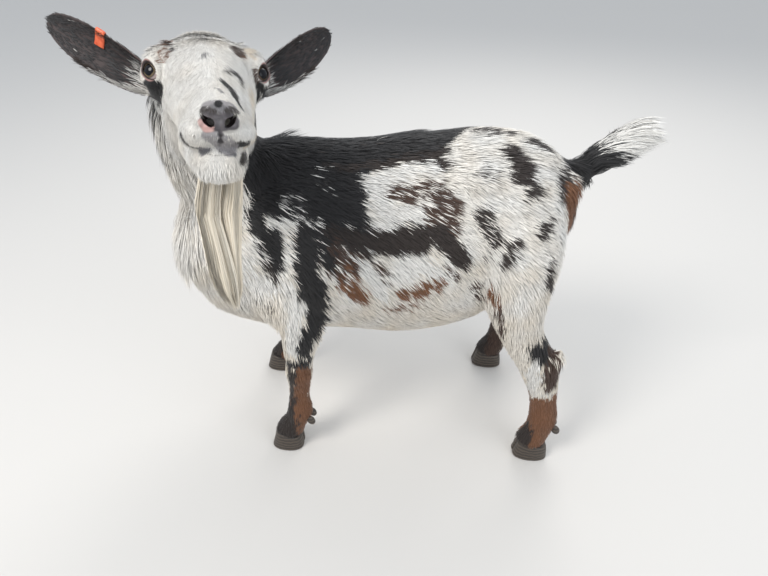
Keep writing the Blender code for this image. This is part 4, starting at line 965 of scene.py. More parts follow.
HEAD_MARKS = strokes(
    (-40, -30, 35, -40, 30, 35, 36, WHITE, 1),
    (-80, -25, 35, -80, 25, 35, 42, WHITE, 1),
    (12, -53, -10, -16, -55, -26, 11, BLACK, 0.99),
    (-16, -55, -26, -24, -54, -42, 8, BLACK, 0.97),
    (13, -45, -39, 11, -45, -48, 3.4, BLACK, 0.9),
    (-6, 56, -8, -14, 57, 10, 15, DARK, 0.95),
    (-6, 54, -20, -14, 52, -54, 9, BLACK, 0.92),
    (-38, 52, 6, -50, 50, -12, 14, DARK, 0.9),
    (15.3, -54, -7, 20.9, -45.9, -8.3, 5.4, BLACK, 0.99),
    (1.4, -54.3, -13.3, 17.3, -46.5, -13.5, 6.6, BLACK, 0.99),
    (9.1, -57, -7.4, -89.8, -53.3, -22.3, 5.9, BLACK, 1),
    (-76, -49.8, -23.1, -20.6, -41.3, -61.5, 9.6, WHITE, 0.97),
    (-80.4, -49.4, -28.2, -97.1, -50.7, -37.4, 3.3, DARK, 0.95),
    (-20.4, -45.5, -49.1, -21.1, -42.8, -58.2, 3.2, DARK, 0.9),
    (21.2, -40.6, 18, -22.8, -33.9, 36.4, 6.2, RUST, 0.62),
    (-21.7, -32, 36.3, 16.8, -30.1, 24.3, 2.5, DARK, 0.8),
    (0.5, -52.6, 23.9, 1.1, -40.7, 30.3, 5.6, GREY, 0.3),
    (7, 28.4, 29.7, 19.6, 30.6, 22.4, 6.1, BROWN, 0.95),
    (21.7, 35.1, 19.5, 2.5, 43.7, 29, 3.3, RUST, 0.4),
    (-49.6, 69, 21.4, -55.1, 70.9, 2.8, 4.9, DARK, 0.95),
    (18.9, 47.3, -8.3, -43.2, 60.6, -11.3, 6.9, BLACK, 0.97),
    (23.7, 45.8, 8.3, 23.9, 44.2, -1.2, 2.7, BROWN, 0.7),
    (42.7, 37, -17, 99.8, 26.8, -63.3, 7, CREAM, 0.75),
    (0.1, 42.1, 30.3, 14.3, 43.9, 22.6, 6.7, CREAM, 0.7),
    (44, -0.7, 15.4, 50.3, 19.9, 4.6, 8.4, GREY, 0.1),
    (15.2, 46.2, -16.8, -9.5, 45.6, -32.3, 4.5, BLACK, 0.95),
    (-9.5, 45.6, -32.3, -4.6, 44.1, -44.9, 3.4, BLACK, 0.9),
    (64, 10.5, 1.1, 53.7, 19.5, 2.5, 2.3, DARK, 0.75),
    (54.1, 20.3, 1.6, 52.2, 25.7, -2.6, 3.7, BLACK, 0.97),
    (52.2, 25.7, -2.6, 57.6, 26.6, -8.4, 2.5, DARK, 0.8),
    (83.2, 7.5, -8.6, 87.4, 12, -13.1, 2.9, BLACK, 1),
    (87.4, 12, -13.1, 96.5, 15.8, -21.4, 3.9, BLACK, 1),
    (96.5, 15.8, -21.4, 104.2, 19.5, -31.1, 2.8, BLACK, 1),
    (104.2, 19.5, -31.1, 103.9, 22.6, -36.1, 1.7, BLACK, 0.95),
    (100.9, 1.4, -17, 103.9, 5.2, -19.6, 1.9, GREY, 0.9),
    (117.8, -9.7, -32.1, 115.9, 12.4, -32.6, 5.5, SMOKE, 0.95),
    (120.3, -2.6, -33, 121.1, 3.5, -36.2, 3.6, GREY, 0.9),
    (118.3, -12.4, -35.3, 121.3, -4.7, -37.9, 3.3, DARK, 0.8),
    (120.9, 6.7, -37.8, 115.9, 15.5, -35.9, 3.3, DARK, 0.8),
    (118.7, -0.3, -29.7, 119, -0.2, -30.1, 2.7, BLACK, 1),
    (100.8, -30.9, -56.8, 100.5, -28.8, -61, 3.6, BLACK, 1),
    (97.6, -28.9, -61.9, 101, -18.5, -66.2, 2.8, DARK, 1),
    (99, -16.2, -68.8, 103.1, 11.5, -71.8, 3.7, GREY, 1),
    (105.9, 16.2, -64.1, 107.3, 21.3, -63.3, 5.6, BLACK, 1),
    (70.1, 24.7, -70.7, 99, 18.4, -79, 4.9, DARK, 0.92),
    (118.6, -6.1, -56.4, 104.4, 6.8, -64.9, 9.3, SMOKE, 0.95),
)


STREAK_WIDTH = 0.0055       # of the cells whose tufts mostly share a colour
STREAK_SHARE = 0.65
TUFT_FLATNESS = 0.42        # thickness of a tuft over its half width
TUFT_PATCH = 0.003          # width of a tuft's place on the unwrap
PIECE_TRIANGLES = 190000    # at most, in one piece of coat


def waves(points, scale, seed):
    """Smooth noise between -1 and 1 from a few plane waves of random direction."""
    draw = np.random.RandomState(seed)
    total = np.zeros(len(points))
    for _ in range(7):
        direction = unit(draw.normal(size=3)) * (2 * math.pi / scale) * draw.uniform(0.6, 1.7)
        total += np.sin(points @ direction + draw.uniform(0, 2 * math.pi))
    return total / 3.2


def cell_groups(points, size):
    """The number of the cubic cell that each point lies in."""
    cells = np.floor(points / size).astype(np.int64) + 5000
    key = (cells[:, 0] * 10000 + cells[:, 1]) * 10000 + cells[:, 2]
    return np.unique(key, return_inverse=True)[1]


def coat_colour(points, draw=None):
    """The coat's colour at each point. With draw, each tuft takes one colour or another whole,
    mostly as its neighbours do."""
    local = to_head(points)
    # more cream lower down and less on the face: partly the coat's own tint, partly painted shade; the waves
    # add random tone
    low = smoothstep(0.42, 0.20, points[:, 2])
    face = smoothstep(0.15, 0.11, np.linalg.norm(local, axis=1))
    cream = np.clip(0.22 + 0.40 * low - 0.14 * face + 0.22 * waves(points, 0.05, 3), 0, 1)[:, None]
    colour = np.array(WHITE) * (1 - cream) + np.array(CREAM) * cream
    edge = 0.0035 * waves(points, 0.022, 1) + 0.0022 * waves(points, 0.009, 2)
    if draw is not None:
        group = cell_groups(points, STREAK_WIDTH)
        shared = draw.random_sample(group.max() + 1)[group]
        own = draw.random_sample(len(points))
        chance = np.where(draw.random_sample(len(points)) < STREAK_SHARE, shared, own)
    turn = 0
    for place, marks, soft in ((points, BODY_MARKS, 0.0040), (local, HEAD_MARKS, 0.0014)):
        wobble = edge if place is points else edge * 0.30
        for start, end, radius, shade, share in marks:
            inside = smoothstep(soft, -soft, stroke_distance(place, start, end) - radius - wobble)
            cover = inside * share
            turn += 1
            if draw is not None:
                cover = ((chance + 0.381966 * turn) % 1 < cover).astype(float)
            colour = colour * (1 - cover[:, None]) + np.array(shade) * cover[:, None]
    return colour


def bare_share(local):
    """How bare the skin is: 1 on the nose, the lips and the rims of the eyes, 0 under the coat."""
    pad = stroke_distance(local, (0.117, -0.0082, -0.0450), (0.117, 0.0082, -0.0450)) - 0.0088
    cut = stroke_distance(local, (0.120, 0, -0.050), (0.109, 0, -0.069)) - 0.0030
    lips = near_path(local, mouth_path(6)[4:-4]) - 0.0017
    edges = np.minimum(np.minimum(pad, cut), lips) + 0.0006 * waves(local, 0.007, 5)
    bare = smoothstep(0.0012, -0.0012, edges)
    for side in (-1, 1):
        x, y, z = ((local - eye_opening(side)) @ eye_turn(side)).T
        ring = np.hypot(x / (LID_HALF_WIDTH + 0.0016), y / (LID_HALF_HEIGHT + 0.0013))
        bare = np.maximum(bare, smoothstep(1.14, 1.00, ring) * (np.abs(z) < 0.014))
    return bare


def bare_colour(points, colour):
    """The bare skin of nose, lips and lids, painted over the coat's colour."""
    local = to_head(points)
    bare = bare_share(local)[:, None]
    tone = np.tile(np.array(LEATHER), (len(points), 1))
    mottle = 1 + 0.25 * waves(local, 0.006, 12) - 0.35 * smoothstep(-0.052, -0.060, local[:, 2])
    tone = tone * mottle[:, None]
    for place, radius, shade in (((0.1180, -0.0110, -0.0498), 0.0060, PINK),
                                 ((0.1160, -0.0150, -0.0455), 0.0054, PINK),
                                 ((0.1185, -0.0072, -0.0512), 0.0040, PINK),
                                 ((0.1140, 0.0160, -0.0450), 0.0048, PINK),
                                 ((0.1180, 0.0, -0.0440), 0.0060, GREY)):
        cover = smoothstep(radius, radius * 0.4, np.linalg.norm(local - np.array(place), axis=1))[:, None]
        cover = cover * (0.9 if shade is PINK and place[1] < 0 else 0.5)
        tone = tone * (1 - cover) + np.array(shade) * cover
    for side in (-1, 1):
        # painted shade inside each nostril's way in; the band along its upper rim is the dark skin of the
        # fold
        inside = stroke_distance(local, (0.098, side * 0.0060, -0.0440), (0.1130, side * 0.0080, -0.0450))
        above = stroke_distance(local, (0.118, side * 0.0060, -0.0405), (0.112, side * 0.0145, -0.0375))
        dark = np.maximum(smoothstep(0.0064, 0.0052, inside), 0.7 * smoothstep(0.0048, 0.0022, above))
        dark = dark[:, None]
        tone = tone * (1 - dark) + np.array(NOSTRIL_DARK) * dark
        x, y, z = ((local - eye_opening(side)) @ eye_turn(side)).T
        close = ((np.hypot(x, y) < 0.017) & (np.abs(z) < 0.014)).astype(float)[:, None]
        ring = np.hypot(x / LID_HALF_WIDTH, y / LID_HALF_HEIGHT)
        edge = smoothstep(1.14, 1.02, ring)[:, None]
        # painted shade in the upper lid's crease, darkening the lid by up to 0.45
        fold = 0.45 * np.exp(-((ring - 1.30) / 0.07) ** 2) * smoothstep(-0.2, 0.4, y / LID_HALF_HEIGHT)
        fold = fold[:, None]
        lid = (np.array(LID) * (1 - edge) + np.array(LID_EDGE) * edge) * (1 - fold)
        tone = tone * (1 - close) + lid * close
    return colour * (1 - bare) + tone * bare


def near_path(points, path):
    """Distance to the nearest of the path's points, measured only where they are close."""
    found = np.full(len(points), 1.0)
    near = np.nonzero(np.linalg.norm(points - path.mean(axis=0), axis=1) < 0.08)[0]
    for stop in path:
        found[near] = np.minimum(found[near], np.linalg.norm(points[near] - stop, axis=1))
    return found


# Regions and the unwrap

TORSO, NECK, SKULL, LEG, TAIL = range(5)
NECK_CUT, NECK_CUT_NORMAL = np.array((-0.235, 0.0, 0.435)), np.array((-0.73, 0.0, 0.68))
HEAD_CUT, HEAD_CUT_NORMAL = np.array((-0.075, 0.0, -0.035)), np.array((0.93, 0.0, 0.36))
TAIL_CUT, TAIL_CUT_NORMAL = np.array((0.2665, 0.0, 0.469)), np.array((0.74, 0.0, 0.675))
NECK_AXIS = spline(np.array(NECK_ROWS)[:, :3], 8)


def region_of(points):
    region = np.full(len(points), TORSO)
    region[(points - NECK_CUT) @ NECK_CUT_NORMAL > 0] = NECK
    region[(points - TAIL_CUT) @ TAIL_CUT_NORMAL > 0] = TAIL
    x, y, z = points.T
    fore = (z < 0.245) & (x < -0.10) & (np.abs(y) > 0.066)
    hind = (z < 0.262) & (x > 0.115)
    region[fore | hind] = LEG
    local = to_head(points)
    near = np.linalg.norm(local, axis=1) < 0.16
    region[((local - HEAD_CUT) @ HEAD_CUT_NORMAL > 0) & near] = SKULL
    return region


def unwrap(points, region):
    """A place on a flat sheet of six tiles by angle round each part's axis and length along it."""
    local = to_head(points)
    x, y, z = points.T
    round_x = np.arctan2(y, z - 0.37)
    neck_x = points - np.array((-0.24, -0.03, 0.52))
    round_neck = np.arctan2(neck_x[:, 1], neck_x[:, 0])
    round_head = np.arctan2(local[:, 1], local[:, 2] + 0.03)
    leg_x = np.where(x < 0, -0.16, 0.215)
    leg_y = np.where(y < 0, -0.108, 0.108)
    round_leg = np.arctan2(y - leg_y, x - leg_x + np.where(y > 0, 0.04 * (1 - z / 0.33), 0))
    leg_tile = (x > 0).astype(int) + 2 * (y > 0).astype(int)
    u = np.zeros(len(points))
    v = np.zeros(len(points))
    pi = math.pi

    def fill(chosen, angle, along, low, high, tile):
        left, bottom, wide, tall = tile
        share = (angle[chosen] / pi + 1) / 2
        u[chosen] = left + wide * (0.04 + 0.92 * share)
        v[chosen] = bottom + tall * (0.03 + 0.94 * np.clip((along[chosen] - low) / (high - low), 0, 1))

    fill(region == TORSO, round_x, x, -0.34, 0.27, (0.0, 0.0, 0.5, 0.66))
    fill(region == NECK, round_neck, z, 0.38, 0.66, (0.5, 0.0, 0.25, 0.33))
    fill(region == SKULL, round_head, local[:, 0], -0.10, 0.124, (0.0, 0.66, 0.5, 0.34))
    fill(region == TAIL, np.arctan2(y, z - 0.49), x, 0.24, 0.37, (0.75, 0.0, 0.25, 0.33))
    for k in range(4):
        fill((region == LEG) & (leg_tile == k), round_leg, z, 0.0, 0.27,
             (0.5 + 0.125 * k, 0.33, 0.125, 0.45))
    return np.stack([u, v], axis=1)


def add_uv(mesh, corners):
    layer = mesh.uv_layers.new(name="OFBake")
    layer.data.foreach_set("uv", np.asarray(corners, dtype=np.float32).ravel())


def corner_vertices(mesh):
    found = np.empty(len(mesh.loops), dtype=np.int32)
    mesh.loops.foreach_get("vertex_index", found)
    return found


def add_colour(mesh, colours):
    layer = mesh.color_attributes.new(name="coat", type="FLOAT_COLOR", domain="POINT")
    table = np.ones((len(colours), 4), dtype=np.float32)
    table[:, :3] = colours
    layer.data.foreach_set("color", table.ravel())


# Coat

def scatter(points, tris, density, draw):
    """Random points on the triangles, so many to a square metre, with their triangle and weights."""
    a, b, c = (points[tris[:, i]] for i in range(3))
    area = 0.5 * np.linalg.norm(np.cross(b - a, c - a), axis=1)
    count = np.floor(area * density + draw.random_sample(len(tris))).astype(int)
    index = np.repeat(np.arange(len(tris)), count)
    r1 = np.sqrt(draw.random_sample(len(index)))[:, None]
    r2 = draw.random_sample(len(index))[:, None]
    weights = np.hstack([1 - r1, r1 * (1 - r2), r1 * r2])
    return index, weights


def tangent(vectors, normals):
    return unit(vectors - normals * np.sum(vectors * normals, axis=1, keepdims=True))


def torso_flow(points, normals):
    x, y, z = points.T
    nz = normals[:, 2]
    side = np.sign(y)
    up, down = np.clip(nz, 0, 1), np.clip(-nz, 0, 1)
    flank = np.clip(1 - up - down, 0, 1) + 0.15
    flow = np.stack([0.95 * up + 0.66 * flank + 0.9 * down,
                     0.16 * side * up,
                     -0.05 * up - 0.72 * flank - 0.1 * down], axis=1)
    straight = np.zeros_like(flow)
    straight[:, 0], straight[:, 2] = 0.16, -1
    legward = smoothstep(0.40, 0.30, z) * (smoothstep(0.08, 0.15, x) + smoothstep(-0.09, -0.15, x))
    legward = np.maximum(legward, smoothstep(-0.22, -0.29, x))
    legward = np.maximum(legward, smoothstep(0.19, 0.24, x) * smoothstep(0.50, 0.44, z))
    legward = np.clip(legward, 0, 1)[:, None]
    return flow * (1 - legward) + straight * legward


def neck_flow(points):
    distance = np.linalg.norm(points[:, None, :] - NECK_AXIS[None, :, :], axis=2)
    near = np.argmin(distance, axis=1)
    slope = np.gradient(NECK_AXIS, axis=0)
    flow = -unit(slope)[near]
    flow[:, 2] -= 0.45
    return flow


def head_flow(points, normals):
    local = to_head(points)
    inner = normals @ np.array(HEAD)[:3, :3] / HEAD_SCALE
    across = np.clip(local[:, 1] / 0.03, -1, 1)
    up, down = np.clip(inner[:, 2], 0, 1), np.clip(-inner[:, 2], 0, 1)
    flank = np.abs(inner[:, 1])
    front = np.clip(inner[:, 0], 0, 1)
    zero = np.zeros(len(points))
    ahead = 1.15 * smoothstep(-0.105, -0.085, local[:, 0]) - 0.4
    behind = np.clip(-inner[:, 0], 0, 1)
    flow = (up[:, None] * np.stack([ahead, 0.55 * across, -0.1 + zero], axis=1)
            + flank[:, None] * np.stack([-0.30 + zero, zero, -0.95 + zero], axis=1)
            + down[:, None] * np.stack([-0.8 + zero, zero, -0.3 + zero], axis=1)
            + front[:, None] * np.stack([zero, 0.5 * across, -0.9 + zero], axis=1)
            + behind[:, None] * np.stack([zero, 0.2 * across, -0.8 + zero], axis=1))
    for sign in (-1, 1):
        away = local - eye_opening(sign)
        close = smoothstep(0.030, 0.013, np.linalg.norm(away, axis=1))[:, None]
        flow = unit(flow) * (1 - close) + (unit(away) + (0, 0, -0.25)) * close
    return head_direction(flow)


def coat_plan(points, normals, region):
    """For each root: the lie of the coat, its length, how far its tip stands up, and its width."""
    x, _, z = points.T
    count = len(points)
    local = to_head(points)
    flow = torso_flow(points, normals)
    length = np.full(count, 0.0225)
    stand = np.full(count, 0.0030)
    width = np.full(count, 0.0016)
    belly = smoothstep(0.27, 0.22, z) * (region == TORSO)
    length += 0.010 * belly
    length += 0.014 * smoothstep(-0.24, -0.30, x) * (region == TORSO)
    length += 0.008 * smoothstep(0.19, 0.23, x) * smoothstep(0.46, 0.40, z) * (region == TORSO)
    chosen = region == NECK
    flow[chosen] = neck_flow(points[chosen])
    throat = smoothstep(0.3, -0.3, normals[:, 0]) * smoothstep(0.66, 0.60, z)
    nape = smoothstep(0.0, 0.5, normals[:, 0]) * smoothstep(0.56, 0.50, z)
    length[chosen] = (0.024 + 0.034 * throat - 0.009 * nape)[chosen]
    stand[chosen] = (0.0036 + 0.0044 * throat - 0.0020 * nape)[chosen]
    chosen = region == LEG
    flow[chosen] = (0.06, 0, -1)
    thin = smoothstep(0.24, 0.13, z)
    length[chosen] = (0.022 - 0.011 * thin)[chosen]
    stand[chosen] = (0.0030 - 0.0016 * thin)[chosen]
    width[chosen] = (0.0018 - 0.0005 * thin)[chosen]
    chosen = region == TAIL
    flow[chosen] = (0.62, 0, 0.72)
    length[chosen] = 0.032
    stand[chosen] = 0.006
    chosen = region == SKULL
    flow[chosen] = head_flow(points[chosen], normals[chosen])
    back = smoothstep(0.020, -0.045, local[:, 0])
    crest = smoothstep(-0.076, -0.060, local[:, 0])
    poll = back * crest * smoothstep(0.015, 0.035, local[:, 2])
    jowl = back * smoothstep(-0.02, -0.06, local[:, 2])
    chin = smoothstep(-0.072, -0.085, local[:, 2]) * smoothstep(0.05, 0.07, local[:, 0])
    eye = np.minimum(np.linalg.norm(local - eye_opening(-1), axis=1),
                     np.linalg.norm(local - eye_opening(1), axis=1))
    near = smoothstep(0.028, 0.013, eye)
    nose = smoothstep(0.080, 0.104, local[:, 0])
    face = 0.0115 + 0.005 * back + 0.002 * poll + 0.018 * jowl + 0.006 * chin - 0.0072 * nose
    face = face * (1 - 0.45 * near)
    length[chosen] = face[chosen]
    stand[chosen] = (0.0009 + 0.0008 * back + 0.0018 * poll + 0.0024 * jowl + 0.0010 * chin)[chosen]
    width[chosen] = (0.00066 + 0.0005 * back + 0.0003 * chin - 0.00014 * nose)[chosen]
    return tangent(flow, normals), length, stand, width


def long_haired(local):
    """Where the head's coat is long enough to bend: its back, the jowls, the poll and the chin."""
    chin = (local[:, 2] < -0.076) & (local[:, 0] > 0.05)
    return (local[:, 0] < -0.010) | chin


def coat_density(points, region):
    local = to_head(points)
    density = np.full(len(points), BODY_DENSITY)
    density[region == NECK] = NECK_DENSITY
    density[region == LEG] = LEG_DENSITY
    density[region == TAIL] = TAIL_DENSITY
    density[region == SKULL] = HEAD_DENSITY
    density[(region == SKULL) & long_haired(local)] = JOWL_DENSITY
    bare = bare_share(local) > 0.35
    density[bare] = 0
    return density


def build_tufts(name, spine, widths, normals, colours, uvs, draw, shade=(0.86, 1.06), soft=0.62):
    """Closed three-sided tufts along spines of equal count, in pieces small enough to handle. Each tuft's
    colour runs from shade[0] at the root to shade[1] at the tip: painted shade at the root, painted light at
    the tip.
    """
    count, stops = spine.shape[:2]
    rings = stops - 1
    per = rings * 3 + 1
    points = np.empty((count, per, 3))
    light = np.empty(per)
    place = np.zeros((per, 2))
    rolls = draw.uniform(-0.5, 0.5, count)[:, None]
    for i in range(rings):
        t = i / rings
        along = unit(spine[:, i + 1] - spine[:, max(i - 1, 0)])
        side = unit(np.cross(along, normals) + normals * rolls)
        over = np.cross(side, along)
        base = 0.34 if rings > 1 else 0.80
        half = (widths * (base + 0.9 * t) * (1 - t ** 2.4) + widths * 0.05)[:, None] * 0.5
        points[:, 3 * i] = spine[:, i] - side * half
        points[:, 3 * i + 1] = spine[:, i] + side * half
        points[:, 3 * i + 2] = spine[:, i] + over * half * TUFT_FLATNESS
        # painted shade at the root rising to painted light at the tip, from shade[0] to shade[1]
        light[3 * i:3 * i + 3] = shade[0] + (shade[1] - shade[0]) * t
        place[3 * i:3 * i + 3] = ((0, t), (0.5, t), (1, t))
    points[:, -1] = spine[:, -1]
    light[-1] = shade[1]
    place[-1] = (0.5, 1.0)
    pattern = []
    for i in range(rings - 1):
        for k in range(3):
            a, b = 3 * i + k, 3 * i + (k + 1) % 3
            pattern += [(b, a, b + 3), (b + 3, a, a + 3)]
    last = 3 * (rings - 1)
    pattern += [(last + (k + 1) % 3, last + k, last + 3) for k in range(3)]
    pattern.append((0, 1, 2))
    pattern = np.array(pattern)
    bright = draw.uniform(0.88, 1.08, count) * (1 + 0.06 * waves(spine[:, 0], 0.012, 21))
    table = colours[:, None, :] * light[None, :, None] * bright[:, None, None]
    corners = uvs[:, None, :] + (place[None] - 0.5) * TUFT_PATCH
    most = PIECE_TRIANGLES // len(pattern)
    made = []
    for part, start in enumerate(range(0, count, most)):
        stop = min(start + most, count)
        tris = (pattern[None] + (np.arange(stop - start) * per)[:, None, None]).reshape(-1, 3)
        base = np.repeat(normals[start:stop], per, axis=0)
        made.append(tuft_object(f"{name}_{part + 1}", points[start:stop].reshape(-1, 3), tris,
                                np.clip(table[start:stop], 0, 0.95).reshape(-1, 3),
                                corners[start:stop].reshape(-1, 2), base, soft))
    return made


def tuft_object(name, points, tris, colours, corners, base, soft):
    mesh = bpy.data.meshes.new(name)
    mesh.vertices.add(len(points))
    mesh.vertices.foreach_set("co", (points + np.array(SHIFT)).astype(np.float32).ravel())
    mesh.loops.add(3 * len(tris))
    mesh.loops.foreach_set("vertex_index", tris.astype(np.int32).ravel())
    mesh.polygons.add(len(tris))
    mesh.polygons.foreach_set("loop_start", np.arange(0, 3 * len(tris), 3, dtype=np.int32))
    mesh.update(calc_edges=True)
    mesh.shade_smooth()
    mesh.normals_split_custom_set_from_vertices(unit(normal_array(mesh) * (1 - soft) + base * soft))
    add_colour(mesh, colours)
    add_uv(mesh, corners[tris.ravel()])
    obj = link(bpy.data.objects.new(name, mesh))
    mesh.materials.append(COAT_MATERIAL)
    coat_pieces.append(obj)
    return obj


def clumped(roots, tips, size, pull, draw):
    """How far each tip moves towards the middle of its neighbours' tips, cell by cell."""
    warped = roots + 0.35 * size * np.stack([waves(roots, 3 * size, 31), waves(roots, 3 * size, 32),
                                             waves(roots, 3 * size, 33)], axis=1)
    group = cell_groups(warped, size)
    count = np.bincount(group).astype(float)
    middle = np.stack([np.bincount(group, tips[:, k]) / count for k in range(3)], axis=1)
    stray = draw.normal(0, size * 0.22, middle.shape)
    return pull * (middle[group] + stray[group] - tips)


def short_tufts(name, roots, normals, flows, lengths, stands, widths, rings, colours, uvs, draw,
                sway=0.10, sink=0.0014, clump=(0.009, 0.42), tree=None):
    """Tufts that rise from their roots, bend over and lie along the coat."""
    across = np.cross(normals, flows)
    lean = draw.normal(0, sway, len(roots))[:, None]
    bend = draw.normal(0, sway * 0.6, len(roots))[:, None]
    tips = roots + flows * lengths[:, None]
    pulls = clumped(roots, tips, *clump, draw)
    pulls -= normals * np.sum(pulls * normals, axis=1, keepdims=True)
    steps = np.linspace(0, 1, rings + 1)
    spine = []
    for t in steps:
        at = (roots - normals * sink + flows * (lengths[:, None] * t)
              + across * (lengths[:, None] * (lean * t + bend * t * t))
              + normals * ((stands + sink)[:, None] * (1 - (1 - t) ** 2))
              + pulls * (t * t))
        if tree and t:
            at = lifted(at, stands * (1.1 if rings == 1 else 0.55 + 0.35 * t), tree)
        spine.append(at)
    return build_tufts(name, np.stack(spine, axis=1), widths, normals, colours, uvs, draw)


def lifted(points, heights, tree):
    """The points, raised where they are nearer to the tree's surface than their heights, or under it."""
    raised = points.copy()
    for i, (point, height) in enumerate(zip(points, heights)):
        place, out, _, _ = tree.find_nearest(Vector(point), 0.02)
        if place is None:
            continue
        above = (Vector(point) - place).dot(out)
        if above < height:
            raised[i] += np.array(out) * (height - above)
    return raised


COAT_SHARES = (
    # name, region, whether long haired, rings, size of its clumps and how far they gather
    ("coat_body", TORSO, None, 2, 0.0080, 0.38),
    ("coat_neck", NECK, None, 3, 0.0080, 0.42),
    ("coat_legs", LEG, None, 2, 0.0040, 0.30),
    ("coat_tail", TAIL, None, 3, 0.0080, 0.35),
    ("coat_face", SKULL, False, 1, 0.0036, 0.16),
    ("coat_head", SKULL, True, 2, 0.0050, 0.34),
)


def even_normals(mesh, rounds=24):
    """The skin's normals averaged over their neighbours, so that small folds don't part the coat."""
    normals = normal_array(mesh)
    pairs = np.empty(len(mesh.edges) * 2, dtype=np.int32)
    mesh.edges.foreach_get("vertices", pairs)
    a, b = pairs.reshape(-1, 2).T
    for _ in range(rounds):
        total = normals.copy()
        for k in range(3):
            total[:, k] += np.bincount(a, normals[b, k], len(normals))
            total[:, k] += np.bincount(b, normals[a, k], len(normals))
        normals = unit(total)
    return normals


def grow_coat():
    draw = np.random.RandomState(SEED)
    points = vertex_array(skin.data)
    normals = normal_array(skin.data)
    even = even_normals(skin.data)
    normals = unit(normals * 0.35 + even * 0.65)
    skin.data.calc_loop_triangles()
    tris = np.empty(len(skin.data.loop_triangles) * 3, dtype=np.int32)
    skin.data.loop_triangles.foreach_get("vertices", tris)
    tris = np.sort(tris.reshape(-1, 3), axis=1)
    tris = tris[np.lexsort(tris.T)]     # a boolean's faces come in another order each run
    centres = points[tris].mean(axis=1)
    region = region_of(centres)
    density = coat_density(centres, region)
    index, weights = scatter(points, tris, density, draw)
    roots = np.einsum("nk,nkc->nc", weights, points[tris[index]])
    out = unit(np.einsum("nk,nkc->nc", weights, normals[tris[index]]))
    region = region[index]
    flows, lengths, stands, widths = coat_plan(roots, out, region)
    lengths = lengths * draw.uniform(0.75, 1.2, len(roots))
    stands = stands * draw.uniform(0.6, 1.25, len(roots))
    widths = widths * draw.uniform(0.75, 1.25, len(roots))
    colours = coat_colour(roots + flows * (0.5 * lengths)[:, None], draw)
    uvs = unwrap(roots, region)
    long_hair = long_haired(to_head(roots))
    tree = BVHTree.FromPolygons([v.co for v in skin.data.vertices], [p.vertices for p in skin.data.polygons])
    for name, part, hair, rings, size, gather in COAT_SHARES:
        pick = (region == part) if hair is None else (region == part) & (long_hair == hair)
        short_tufts(name, roots[pick], out[pick], flows[pick], lengths[pick], stands[pick],
                    widths[pick], rings, colours[pick], uvs[pick], draw,
                    sway=0.09 if part != SKULL else 0.07, sink=0.0003 if rings == 1 else 0.0012,
                    clump=(size, gather), tree=tree)


def grow_ears():
    draw = np.random.RandomState(SEED + 1)
    for side, word in SIDES:
        for layer, count, length, stand in ((0, 2600, 0.0075, 0.0012), (1, 900, 0.0085, 0.0012)):
            u = draw.uniform(0.02, 0.96, count)
            v = draw.uniform(-0.93, 0.93, count)
            roots, out, flows = [], [], []
            for a, b in zip(u, v):
                here = HEAD @ ear_surface(side, a, b, layer)
                ahead = HEAD @ ear_surface(side, min(a + 0.02, 1), b, layer)
                beside = HEAD @ ear_surface(side, a, b + 0.03, layer)
                other = HEAD @ ear_surface(side, a, b, 1 - layer)
                flow = (ahead - here).normalized()
                normal = flow.cross(beside - here).normalized()
                if normal.dot(here - other) < 0:
                    normal = -normal
                roots.append(here)
                out.append(normal)
                flows.append(flow)
            roots, out, flows = np.array(roots), np.array(out), np.array(flows)
            lengths = length * draw.uniform(0.7, 1.2, count) * (1 + layer * 1.2 * (u < 0.35))
            dark = np.array(DARK) if layer == 0 else np.array(BLACK) * 1.4
            colours = np.tile(dark, (count, 1)) * draw.uniform(0.8, 1.5, count)[:, None]
            pale = draw.random_sample(count) < 0.003 + 0.6 * (u < 0.16)
            colours[pale] = np.array(WHITE) * 0.75
            corners = np.stack([0.5 + 0.12 * (layer + (1 + v) / 2), 0.80 + 0.09 * (side + 1) + 0.08 * u],
                               axis=1)
            short_tufts(f"coat_ear_{word}_{'inner' if layer else 'outer'}", roots, out, flows, lengths,
                        np.full(count, stand), np.full(count, 0.0011), 2, colours, corners, draw,
                        sink=0.0003, clump=(0.004, 0.3))


def grow_ear_fringe():
    """Long pale hairs along the lower rim of each ear and in its opening."""
    draw = np.random.RandomState(SEED + 5)
    for side, word in SIDES:
        roots, out, flows, pale = [], [], [], []
        for _ in range(EAR_FRINGE):
            u = draw.uniform(0.02, 0.62)
            v = draw.choice((1, 1, -1)) * draw.uniform(0.80, 0.97)
            here = ear_surface(side, u, v, 0)
            rim = ear_surface(side, u, v + math.copysign(0.03, v), 0)
            ahead = ear_surface(side, u + 0.02, v, 0)
            other = ear_surface(side, u, v, 1)
            flow = (rim - here).normalized() * draw.uniform(0.4, 0.9) + (ahead - here).normalized()
            flow += (other - here).normalized() * draw.uniform(0.0, 0.7)
            roots.append(HEAD @ ((here + other) / 2))
            flows.append((HEAD.to_3x3() @ flow).normalized())
            out.append((HEAD.to_3x3() @ (other - here)).normalized())
            pale.append(v > 0 and u < draw.uniform(0.15, 0.55))
        roots, flows, out = np.array(roots), np.array(flows), np.array(out)
        out = tangent(out, flows)
        count = len(roots)
        colours = np.where(np.array(pale)[:, None], np.array(WHITE) * 0.8, np.array(DARK) * 1.3)
        uvs = np.stack([draw.uniform(0.78, 0.98, count), np.full(count, 0.70 + 0.04 * (side + 1))], axis=1)
        short_tufts(f"coat_ear_{word}_fringe", roots, out, flows, draw.uniform(0.007, 0.015, count),
                    np.full(count, 0.001), np.full(count, 0.0010), 3, colours, uvs, draw,
                    sink=0.0002, clump=(0.006, 0.25))


BEARD_HANKS = (
    # share across the chin from the right, then height, middle and half width down the hank
    (0.00, 0.52, BEARD_RIGHT),
    (0.54, 1.00, BEARD_LEFT),
)


